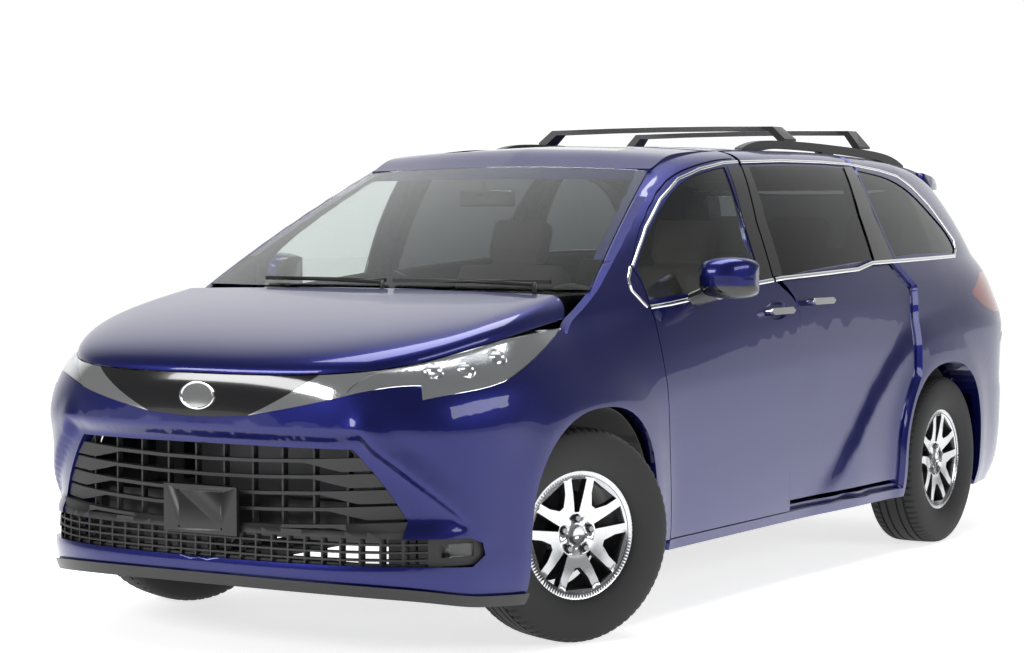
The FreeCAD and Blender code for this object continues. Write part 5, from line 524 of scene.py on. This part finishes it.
def car_paint(name, colour):
    """Metallic flakes under a clear coat."""
    material, nodes, links, shader = new_material(name)
    set_all(shader, Base_Color=(*colour, 1), Metallic=0.80, Coat_Weight=0.7, Coat_Roughness=0.03,
            Coat_IOR=1.5)
    place = nodes.new("ShaderNodeTexCoord")
    cells = nodes.new("ShaderNodeTexVoronoi")
    cells.inputs["Scale"].default_value = FLAKE_SCALE
    spread = nodes.new("ShaderNodeMapRange")
    spread.inputs["To Min"].default_value, spread.inputs["To Max"].default_value = FLAKE_ROUGHNESS
    links.new(place.outputs["Object"], cells.inputs["Vector"])
    links.new(cells.outputs["Distance"], spread.inputs["Value"])
    links.new(spread.outputs["Result"], shader.inputs["Roughness"])
    return material


def glass(name, tint):
    """Clear or tinted glass."""
    material, _, _, shader = new_material(name)
    set_all(shader, Base_Color=(*tint, 1), Roughness=0.0, Transmission_Weight=1.0, IOR=GLASS_IOR)
    return material


PAINT = car_paint("deep_blue_paint", (0.0020, 0.0045, 0.105))
GLOSS_BLACK = plain("gloss_black", (0.006, 0.006, 0.007), 0.12, coat=0.6)
SATIN_BLACK = plain("satin_black", (0.012, 0.012, 0.013), 0.35)
GRAIN_BLACK = plain("grained_black", (0.02, 0.02, 0.021), 0.6, grain=0.25)
CHROME = plain("bright_trim", (0.86, 0.87, 0.88), 0.08, metallic=1.0)
ALLOY = plain("machined_alloy", (0.62, 0.63, 0.65), 0.22, metallic=1.0)
DARK_ALLOY = plain("dark_alloy", (0.09, 0.09, 0.095), 0.35, metallic=0.8)
RUBBER = plain("tyre_rubber", (0.014, 0.014, 0.015), 0.72, grain=0.2, grain_scale=900.0)
STEEL = plain("bare_steel", (0.30, 0.30, 0.31), 0.4, metallic=1.0)
UNDERSIDE = plain("underbody_black", (0.02, 0.02, 0.02), 0.7)
INTERIOR = plain("cabin_plastic", (0.035, 0.034, 0.034), 0.55, grain=0.2)
SEAT_CLOTH = plain("seat_cover", (0.16, 0.145, 0.13), 0.8, grain=0.3, grain_scale=700.0)
RED_LAMP = plain("red_lamp", (0.16, 0.003, 0.004), 0.15, coat=0.5)
CLEAR_GLASS = glass("clear_glass", (0.78, 0.83, 0.81))
PRIVACY_GLASS = glass("privacy_glass", (0.07, 0.075, 0.08))
LAMP_GLASS = glass("lamp_cover", (0.95, 0.96, 0.97))
REFLECTOR = plain("reflector", (0.8, 0.81, 0.83), 0.12, metallic=1.0)


# Pieces

MERGE_REACH = 0.00002
NORMAL_REACH = 0.13
NORMAL_LEAN = 0.9
CREASE = 32.0
HANDLE_LIMIT = 0.4
COVER_DEPTH = 0.010
COVER_SAMPLE = 7


def piece(name, mesh, material, body):
    """A shown piece that rides on a body and fills its material's colour slot."""
    made = bpy.data.objects.new(name, mesh)
    bpy.context.scene.collection.objects.link(made)
    mesh.materials.clear()
    mesh.materials.append(material)
    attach(made, body)
    return made


def body_of_node(node):
    """Name of the body that carries a node."""
    for body, nodes in frame["record"]["behaviour"]["bodies"].items():
        if node in nodes:
            return body
    raise KeyError(node)


def islands(work):
    """The separate solids of a merged mesh, each as a list of its faces."""
    left = set(work.faces)
    found = []
    while left:
        first = left.pop()
        queue, group = [first], [first]
        while queue:
            face = queue.pop()
            for edge in face.edges:
                for other in edge.link_faces:
                    if other in left:
                        left.remove(other)
                        queue.append(other)
                        group.append(other)
        found.append(group)
    return found


def mark(mesh, choose):
    """Give each solid of a mesh the material number that choose makes of its corner points."""
    work = bmesh.new()
    work.from_mesh(mesh)
    for group in islands(work):
        number = choose([v.co for face in group for v in face.verts])
        for face in group:
            face.material_index = number
    work.to_mesh(mesh)
    work.free()


def merged_copy(node):
    """A copy of a CAD node's mesh in its place, with its loose corners merged."""
    source = frame["nodes"][node]
    mesh = source.data.copy()
    mesh.transform(source.matrix_world)
    work = bmesh.new()
    work.from_mesh(mesh)
    bmesh.ops.remove_doubles(work, verts=work.verts, dist=MERGE_REACH)
    work.to_mesh(mesh)
    work.free()
    return mesh


def take_normals(mesh, surfaces):
    """Give a mesh the normals of the reference surfaces wherever its faces follow them."""
    corner_normals = [c.vector.copy() for c in mesh.corner_normals]
    known = {}
    for polygon in mesh.polygons:
        for loop in polygon.loop_indices:
            index = mesh.loops[loop].vertex_index
            if index not in known:
                place = mesh.vertices[index].co
                found = [f for f in (nearest(s, place, NORMAL_REACH) for s in surfaces) if f]
                known[index] = min(found, key=lambda f: (f[0] - place).length)[1] if found else None
            normal = known[index]
            lean = normal.dot(polygon.normal) if normal else 0.0
            if abs(lean) > NORMAL_LEAN:
                corner_normals[loop] = normal if lean > 0 else -normal
    mesh.normals_split_custom_set(corner_normals)


def dress(node, material, surfaces=(), other=None, choose=None, by_face=None):
    """A merged copy of a CAD node with the reference surface's normals, standing for the node.
    choose gives some of its solids, and by_face some of its faces, the other material."""
    mesh = merged_copy(node)
    mesh.shade_smooth()
    mesh.set_sharp_from_angle(angle=math.radians(CREASE))
    if surfaces:
        take_normals(mesh, surfaces)
    made = piece(node + "_look", mesh, material, body_of_node(node))
    if other:
        mesh.materials.append(other)
    if choose:
        mark(mesh, choose)
    if by_face:
        for polygon in mesh.polygons:
            polygon.material_index = 1 if by_face(polygon) else 0
    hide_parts(node)
    return made


def small(points):
    """1 where a solid is a handle rather than a door."""
    length = max(p.x for p in points) - min(p.x for p in points)
    return 1 if length < HANDLE_LIMIT else 0


def under_cover(points):
    """1 where a solid of the headlamps lies well below the outer skin, so that it is a housing."""
    depths = [(nearest(SIDES, p, 1.0)[0] - p).length for p in points[::COVER_SAMPLE]]
    return 1 if sum(depths) / len(depths) > COVER_DEPTH else 0


# Nodes that follow the sides' outer surface
PANELS = {
    "front_fenders": PAINT, "body_side_left": PAINT, "body_side_right": PAINT, "rear_bumper": PAINT,
    "tailgate": PAINT, "badge_panel": GLOSS_BLACK, "bright_wings": CHROME, "lower_grille": GRAIN_BLACK,
    "front_lip": SATIN_BLACK, "fog_lamps": LAMP_GLASS, "front_door_glass_left": CLEAR_GLASS,
    "front_door_glass_right": CLEAR_GLASS, "side_glass": PRIVACY_GLASS, "tailgate_glass": PRIVACY_GLASS,
    "tailgate_lamps": RED_LAMP, "tail_lamps": RED_LAMP}
DOORS = ("front_door_left", "front_door_right", "sliding_door_left", "sliding_door_right")
TOPS = {
    "hood": (PAINT, HOOD), "roof": (PAINT, ROOF_TOP), "spoiler": (PAINT, ROOF_TOP),
    "roof_glass": (GLOSS_BLACK, ROOF_TOP), "windshield": (CLEAR_GLASS, SHIELD)}
# Nodes whose own faces are smooth enough
OTHERS = {
    "front_bumper": PAINT, "plate_bracket": SATIN_BLACK, "floor_pan": UNDERSIDE, "front_frame": UNDERSIDE,
    "radiator": DARK_ALLOY, "wheel_liners": UNDERSIDE, "cowl": SATIN_BLACK, "dashboard": INTERIOR,
    "roof_rails": SATIN_BLACK, "cross_bars": SATIN_BLACK, "front_subframe": UNDERSIDE,
    "rear_axle": UNDERSIDE, "engine_block": DARK_ALLOY, "fuel_tank": UNDERSIDE,
    "steering_wheel": INTERIOR, "knuckle_left": STEEL, "knuckle_right": STEEL, "wipers": SATIN_BLACK,
    "cabin_mirror": GLOSS_BLACK, "exhaust": STEEL}
for node, material in PANELS.items():
    dress(node, material, (SIDES,))
for node in DOORS:
    dress(node, PAINT, (SIDES,), other=CHROME, choose=small)
dress("headlamps", LAMP_GLASS, (SIDES,), other=REFLECTOR, choose=under_cover)
for node, (material, surface) in TOPS.items():
    dress(node, material, (surface,))
for node, material in OTHERS.items():
    dress(node, material)

MIRROR_SPLIT_Z = 1.195
MIRROR_SPLIT_Y = 0.962


def is_mirror_base(polygon):
    """The outside mirrors are body coloured above and black below and at the arm."""
    return polygon.center.z < MIRROR_SPLIT_Z or abs(polygon.center.y) < MIRROR_SPLIT_Y


for side in ("left", "right"):
    dress("mirror_" + side, PAINT, other=GLOSS_BLACK, by_face=is_mirror_base)


# Seats as padded covers

SEATS = ("front_seats", "second_row_seats", "third_row_seat")
SEAT_VOXEL = 0.012
SEAT_SMOOTHING = 10
SEAT_EASE = 0.5


def padded_seat(node):
    """A seat's form remeshed and eased into soft padded shapes."""
    draft = bpy.data.objects.new("seat_draft", merged_copy(node))
    bpy.context.scene.collection.objects.link(draft)
    remesh = draft.modifiers.new("remesh", "REMESH")
    remesh.mode = "VOXEL"
    remesh.voxel_size = SEAT_VOXEL
    ease = draft.modifiers.new("ease", "SMOOTH")
    ease.factor = SEAT_EASE
    ease.iterations = SEAT_SMOOTHING
    graph = bpy.context.evaluated_depsgraph_get()
    eased = bpy.data.meshes.new_from_object(draft.evaluated_get(graph))
    bpy.data.objects.remove(draft)
    eased.shade_smooth()
    made = piece(node + "_look", eased, SEAT_CLOTH, body_of_node(node))
    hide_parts(node)


for node in SEATS:
    padded_seat(node)


# Wheels

STEER_AT_REST = math.radians(-25.0)
TYRE_TURNS = 288
BLOCK_EVERY = 4
BLOCK_CUT = 0.006
GROOVE_CUT = 0.008
NUT_RING = 0.05715
NUT_RADIUS = 0.0105
NUT_HEIGHT = 0.018
NUT_COUNT = 5
FACE_LEAN = 0.80
FACE_REACH = 0.040
NUT_TAPER = 0.9
NUT_START = 0.3
TYRE_CREASE = 35.0
# Half of the tyre's section from the bead to the tread, as (half width, radius) in metres
TYRE_HALF = [
    (0.0890, 0.2190), (0.0960, 0.2230), (0.1040, 0.2360), (0.1130, 0.2620), (0.1172, 0.2900),
    (0.1165, 0.3180), (0.1120, 0.3400), (0.1060, 0.3520), (0.0990, 0.3595), (0.0900, 0.3642),
    (0.0780, 0.3668), (0.0640, 0.3676), (0.0630, 0.3676 - GROOVE_CUT), (0.0550, 0.3676 - GROOVE_CUT),
    (0.0540, 0.3679), (0.0290, 0.3684), (0.0280, 0.3684 - GROOVE_CUT), (0.0200, 0.3684 - GROOVE_CUT),
    (0.0190, 0.3685)]
# Points of that section that the cuts across the shoulder lower
SHOULDER = range(8, 12)


def closed_mesh(name, points, faces, material, body, crease):
    """A closed piece from points and faces, with its faces turned outwards."""
    mesh = bpy.data.meshes.new(name)
    mesh.from_pydata(points, [], faces)
    work = bmesh.new()
    work.from_mesh(mesh)
    bmesh.ops.recalc_face_normals(work, faces=work.faces)
    work.to_mesh(mesh)
    work.free()
    mesh.shade_smooth()
    mesh.set_sharp_from_angle(angle=math.radians(crease))
    return piece(name, mesh, material, body)


def wheel_frame(end, side):
    """Centre, outward axle, forward and upward directions of a wheel as it stands."""
    source = frame["nodes"]["tyre_%s_%s" % (end, side)]
    places = [source.matrix_world @ v.co for v in source.data.vertices]
    centre = V([(min(p[k] for p in places) + max(p[k] for p in places)) / 2 for k in range(3)])
    turn = Matrix.Rotation(STEER_AT_REST if end == "front" else 0.0, 3, "Z")
    axle = turn @ V((0, 1 if side == "left" else -1, 0))
    return centre, axle, turn @ V((1, 0, 0)), V((0, 0, 1))


def tyre(end, side):
    """A tyre with rounded walls, four grooves round it and cuts across its shoulders."""
    centre, axle, forward, up = wheel_frame(end, side)
    section = TYRE_HALF + [(-y, r) for y, r in reversed(TYRE_HALF)]
    count = len(section)
    points = []
    for k in range(TYRE_TURNS):
        angle = 2 * math.pi * k / TYRE_TURNS
        out = forward * math.cos(angle) + up * math.sin(angle)
        for j, (y, radius) in enumerate(section):
            shift = 1 if j >= count // 2 else 0
            across_shoulder = min(j, count - 1 - j) in SHOULDER and (k + shift) % BLOCK_EVERY == 0
            cut = BLOCK_CUT if across_shoulder else 0.0
            points.append(centre + axle * y + out * (radius - cut))
    faces = []
    for k in range(TYRE_TURNS):
        for j in range(count):
            a, b = k * count, (k + 1) % TYRE_TURNS * count
            faces.append((a + j, a + (j + 1) % count, b + (j + 1) % count, b + j))
    node = "tyre_%s_%s" % (end, side)
    made = closed_mesh(node + "_look", points, faces, RUBBER, body_of_node(node), TYRE_CREASE)
    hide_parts(node)


def nuts(end, side, rim):
    """Five nuts seated in the rim's wells, one of them at the top."""
    centre, axle, forward, up = wheel_frame(end, side)
    corners = [v.co for v in rim.data.vertices]
    tree = BVHTree.FromPolygons(corners, [list(p.vertices) for p in rim.data.polygons])
    work = bmesh.new()
    for k in range(NUT_COUNT):
        angle = math.pi / 2 + 2 * math.pi * k / NUT_COUNT
        start = centre + (forward * math.cos(angle) + up * math.sin(angle)) * NUT_RING + axle * NUT_START
        spot = tree.ray_cast(start, -axle)[0]
        if spot is None:
            continue
        turn = axle.to_track_quat("Z", "Y").to_matrix().to_4x4()
        place = Matrix.Translation(spot + axle * (NUT_HEIGHT / 2)) @ turn
        bmesh.ops.create_cone(work, cap_ends=True, segments=6, radius1=NUT_RADIUS,
                              radius2=NUT_RADIUS * NUT_TAPER, depth=NUT_HEIGHT, matrix=place)
    mesh = bpy.data.meshes.new("nuts")
    work.to_mesh(mesh)
    work.free()
    piece("nuts_%s_%s" % (end, side), mesh, STEEL, body_of_node("rim_%s_%s" % (end, side)))


def rim(end, side):
    """A rim with bright machined faces where the spokes look outwards, and dark elsewhere."""
    centre, axle, _, _ = wheel_frame(end, side)

    def machined(polygon):
        """Whether a face looks outwards and lies near the wheel's outer side."""
        return polygon.normal.dot(axle) > FACE_LEAN and (polygon.center - centre).dot(axle) > FACE_REACH

    return dress("rim_%s_%s" % (end, side), DARK_ALLOY, other=ALLOY, by_face=machined)


for end in ("front", "rear"):
    for side in ("left", "right"):
        nuts(end, side, rim(end, side))
        tyre(end, side)


# Trims that lie on the outer skin, as (length, height) in millimetres

TRIM_STEP = 18.0
SURROUND_WIDTH = 0.013
BELT_TRIM_WIDTH = 0.017
TRIM_RISE = 0.0045
COVER_RISE = 0.0014
COVER_SINK = 0.0010
COVER_ROWS = 24
COVER_COLUMNS = 6
TRIM_CREASE = 50.0
COVER_CREASE = 30.0
SKIN_START = 2.0
SKIN_REACH = 0.01
# Section of the strips, as (share of the width, share of the rise)
STRIP_SHARES = [(-0.5, -0.3), (-0.46, 0.45), (-0.25, 0.9), (0.0, 1.0), (0.25, 0.9), (0.46, 0.45), (0.5, -0.3)]
TOP_LINE = [(1170, 1272), (1101, 1324), (981, 1406), (789, 1511), (602, 1590), (439, 1629), (249, 1655),
            (132, 1661)]
TOP_REAR_LINE = [(112, 1661), (-266, 1671), (-631, 1671), (-926, 1665), (-1237, 1643), (-1427, 1620),
                 (-1554, 1571), (-1680, 1492), (-1774, 1400), (-1848, 1332), (-1822, 1293), (-1763, 1261)]
BELT_LINE = [(1140, 1126), (998, 1134), (600, 1168), (317, 1193), (206, 1200)]
BELT_REAR_LINE = [(188, 1202), (123, 1206), (-582, 1226), (-741, 1249), (-1763, 1261)]
TIP_LINE = [(1186, 1268), (1228, 1224), (1226, 1188), (1158, 1128)]
FRONT_COVER = ([(240, 1640), (300, 1424), (306, 1206)], [(133, 1646), (205, 1424), (208, 1208)])
MIDDLE_COVER = ([(121, 1648), (194, 1424), (197, 1210)], [(71, 1650), (116, 1423), (120, 1214)])
REAR_COVER = ([(-845, 1660), (-775, 1448), (-769, 1256)], [(-939, 1654), (-925, 1447), (-975, 1258)])


def on_skin(x, z, side):
    """Place and outward normal of the skin seen from the side at a length and height, left or right."""
    start = V((x * MM, SKIN_START * side, z * MM))
    spot, _, _, _ = SIDES[0].ray_cast(start, V((0, -side, 0)))
    return nearest(SIDES, spot, SKIN_REACH)


def dense(line):
    """A line of points with more points between them, a step apart at most."""
    places = []
    for (a, b), (c, d) in zip(line, line[1:]):
        count = max(int(math.hypot(c - a, d - b) / TRIM_STEP), 1)
        places += [(a + (c - a) * k / count, b + (d - b) * k / count) for k in range(count)]
    return places + [line[-1]]


def ribbon(name, line, width, side, material, body):
    """A rounded strip laid on the skin along a line."""
    places = [on_skin(x, z, side) for x, z in dense(line)]
    points = []
    for k, (spot, normal) in enumerate(places):
        along = places[min(k + 1, len(places) - 1)][0] - places[max(k - 1, 0)][0]
        across = normal.cross(along).normalized()
        points += [spot + across * (width * a) + normal * (TRIM_RISE * b) for a, b in STRIP_SHARES]
    count = len(STRIP_SHARES)
    last = (len(places) - 1) * count
    faces = [tuple(range(count)), tuple(last + j for j in reversed(range(count)))]
    for k in range(len(places) - 1):
        for j in range(count):
            a, b = k * count + j, k * count + (j + 1) % count
            faces.append((a, b, b + count, a + count))
    closed_mesh(name, points, faces, material, body, TRIM_CREASE)


def at_height(line, z):
    """Length at which a line of points reaches a height."""
    for (a, b), (c, d) in zip(line, line[1:]):
        if min(b, d) <= z <= max(b, d):
            return a + (c - a) * (z - b) / (d - b)
    return line[0][0] if abs(z - line[0][1]) < abs(z - line[-1][1]) else line[-1][0]


def cover(name, edges, side, material, body):
    """A thin plate on the skin between two upright edges."""
    top = min(edges[0][0][1], edges[1][0][1])
    low = max(edges[0][-1][1], edges[1][-1][1])
    rows, columns = COVER_ROWS, COVER_COLUMNS
    outer, inner = [], []
    for r in range(rows + 1):
        z = top + (low - top) * r / rows
        x0, x1 = at_height(edges[0], z), at_height(edges[1], z)
        for c in range(columns + 1):
            spot, normal = on_skin(x0 + (x1 - x0) * c / columns, z, side)
            outer.append(spot + normal * COVER_RISE)
            inner.append(spot - normal * COVER_SINK)
    wide = columns + 1
    faces = []
    for r in range(rows):
        for c in range(columns):
            a = r * wide + c
            faces.append((a, a + 1, a + wide + 1, a + wide))
    under = len(outer)
    faces += [tuple(under + i for i in reversed(f)) for f in faces]
    ring = [c for c in range(wide)]
    ring += [r * wide + columns for r in range(1, rows + 1)]
    ring += [rows * wide + c for c in range(columns - 1, -1, -1)]
    ring += [r * wide for r in range(rows - 1, 0, -1)]
    for a, b in zip(ring, ring[1:] + ring[:1]):
        faces.append((a, b, under + b, under + a))
    closed_mesh(name, outer + inner, faces, material, body, COVER_CREASE)


for side_name, side in (("left", 1), ("right", -1)):
    door_body = body_of_node("front_door_" + side_name)
    ribbon("window_trim_front_" + side_name, TOP_LINE, SURROUND_WIDTH, side, CHROME, door_body)
    ribbon("belt_trim_front_" + side_name, BELT_LINE, BELT_TRIM_WIDTH, side, CHROME, door_body)
    ribbon("window_trim_rear_" + side_name, TOP_REAR_LINE, SURROUND_WIDTH, side, CHROME, "body")
    ribbon("belt_trim_rear_" + side_name, BELT_REAR_LINE, BELT_TRIM_WIDTH, side, CHROME, "body")
    ribbon("window_trim_tip_" + side_name, TIP_LINE, SURROUND_WIDTH, side, CHROME, "body")
    cover("pillar_cover_front_" + side_name, FRONT_COVER, side, GLOSS_BLACK, door_body)
    cover("pillar_cover_middle_" + side_name, MIDDLE_COVER, side, GLOSS_BLACK, "body")
    cover("pillar_cover_rear_" + side_name, REAR_COVER, side, GLOSS_BLACK, "body")


# Blank oval on the nose; its rings are (share of the half size, share of the rise)

BADGE_HALF_WIDTH = 0.074
BADGE_HALF_HEIGHT = 0.047
BADGE_Z = 0.867
BADGE_RISE = 0.005
BADGE_RINGS = [(1.00, -0.4), (0.98, 0.8), (0.92, 1.0), (0.86, 0.8), (0.84, 0.4), (0.40, 0.5), (0.02, 0.5)]
BADGE_TURNS = 64
BADGE_START = 4.0


def badge():
    """A blank oval with a raised rim, laid on the nose."""
    points = []
    for share, rise in BADGE_RINGS:
        for k in range(BADGE_TURNS):
            angle = 2 * math.pi * k / BADGE_TURNS
            y = BADGE_HALF_WIDTH * share * math.cos(angle)
            z = BADGE_Z + BADGE_HALF_HEIGHT * share * math.sin(angle)
            spot = SIDES[0].ray_cast(V((BADGE_START, y, z)), V((-1, 0, 0)))[0]
            points.append(spot + V((BADGE_RISE * rise, 0, 0)))
    faces = []
    for r in range(len(BADGE_RINGS) - 1):
        for k in range(BADGE_TURNS):
            a, b = r * BADGE_TURNS + k, r * BADGE_TURNS + (k + 1) % BADGE_TURNS
            faces.append((a, b, b + BADGE_TURNS, a + BADGE_TURNS))
    faces.append(tuple(range(BADGE_TURNS)))
    last = (len(BADGE_RINGS) - 1) * BADGE_TURNS
    faces.append(tuple(last + k for k in reversed(range(BADGE_TURNS))))
    closed_mesh("blank_oval", points, faces, CHROME, body_of_node("badge_panel"), TRIM_CREASE)


badge()


# Camera, light and floor

CAMERA_PLACE = (9.2162, 5.3339, 1.4770)
CAMERA_TURN = (-148.19, -2.614, -0.08)
SENSOR_WIDTH = 36.0
LENS = 90.58
FLOOR_SIZE = 60.0
FLOOR_GLOW = 0.72
BACKDROP_WAY = (-0.85, -0.527, 0.0)
BACKDROP_REACH = (0.45, 0.85)
BACKDROP_LIGHT = 1.1
ROOM_SHADE = 0.20
# Lights as (name, place, target, size, power)
LIGHTS = [
    ("roof_light", (0.5, 0.5, 6.0), (0.3, 0, 0), (6.0, 3.0), 420.0),
    ("side_light", (1.0, 8.5, 3.6), (0.0, 0.5, 0.8), (7.0, 1.6), 200.0),
    ("front_light", (8.5, -2.5, 3.4), (2.0, 0, 0.7), (5.0, 1.6), 300.0)]


def camera():
    """The photograph's own camera; its turn is heading, pitch and roll in degrees."""
    data = bpy.data.cameras.new("camera")
    data.sensor_width = SENSOR_WIDTH
    data.lens = LENS
    made = bpy.data.objects.new("camera", data)
    bpy.context.scene.collection.objects.link(made)
    yaw, pitch, roll = (math.radians(angle) for angle in CAMERA_TURN)
    ahead = V((math.cos(yaw) * math.cos(pitch), math.sin(yaw) * math.cos(pitch), math.sin(pitch)))
    made.location = CAMERA_PLACE
    made.rotation_mode = "QUATERNION"
    made.rotation_quaternion = ahead.to_track_quat("-Z", "Y") @ Quaternion((0, 0, 1), roll)
    bpy.context.scene.camera = made


def light(name, place, target, size, power):
    """A soft oblong light that looks at a target."""
    data = bpy.data.lights.new(name, "AREA")
    data.shape = "RECTANGLE"
    data.size, data.size_y = size
    data.energy = power
    made = bpy.data.objects.new(name, data)
    bpy.context.scene.collection.objects.link(made)
    made.location = place
    made.rotation_mode = "QUATERNION"
    made.rotation_quaternion = (V(target) - V(place)).to_track_quat("-Z", "Y")


def studio():
    """A pale floor, a bright backdrop behind the car and a dimmer room in front of it."""
    work = bmesh.new()
    bmesh.ops.create_grid(work, x_segments=1, y_segments=1, size=FLOOR_SIZE)
    mesh = bpy.data.meshes.new("floor")
    work.to_mesh(mesh)
    work.free()
    floor = bpy.data.objects.new("floor", mesh)
    bpy.context.scene.collection.objects.link(floor)
    ground = plain("pale_floor", (0.80, 0.80, 0.80), 0.75)
    set_all(ground.node_tree.nodes["Principled BSDF"], Emission_Color=(1, 1, 1, 1),
            Emission_Strength=FLOOR_GLOW)
    mesh.materials.append(ground)
    world = bpy.data.worlds.new("studio")
    bpy.context.scene.world = world
    world.use_nodes = True
    nodes, links = world.node_tree.nodes, world.node_tree.links
    place = nodes.new("ShaderNodeTexCoord")
    facing = nodes.new("ShaderNodeVectorMath")
    facing.operation = "DOT_PRODUCT"
    facing.inputs[1].default_value = BACKDROP_WAY
    spread = nodes.new("ShaderNodeMapRange")
    spread.inputs["From Min"].default_value, spread.inputs["From Max"].default_value = BACKDROP_REACH
    spread.inputs["To Min"].default_value = ROOM_SHADE
    spread.inputs["To Max"].default_value = BACKDROP_LIGHT
    links.new(place.outputs["Generated"], facing.inputs[0])
    links.new(facing.outputs["Value"], spread.inputs["Value"])
    links.new(spread.outputs["Result"], nodes["Background"].inputs["Color"])
    nodes["Background"].inputs["Strength"].default_value = 1.0
    for settings in LIGHTS:
        light(*settings)
    bpy.context.scene.view_settings.view_transform = "Standard"


camera()
studio()
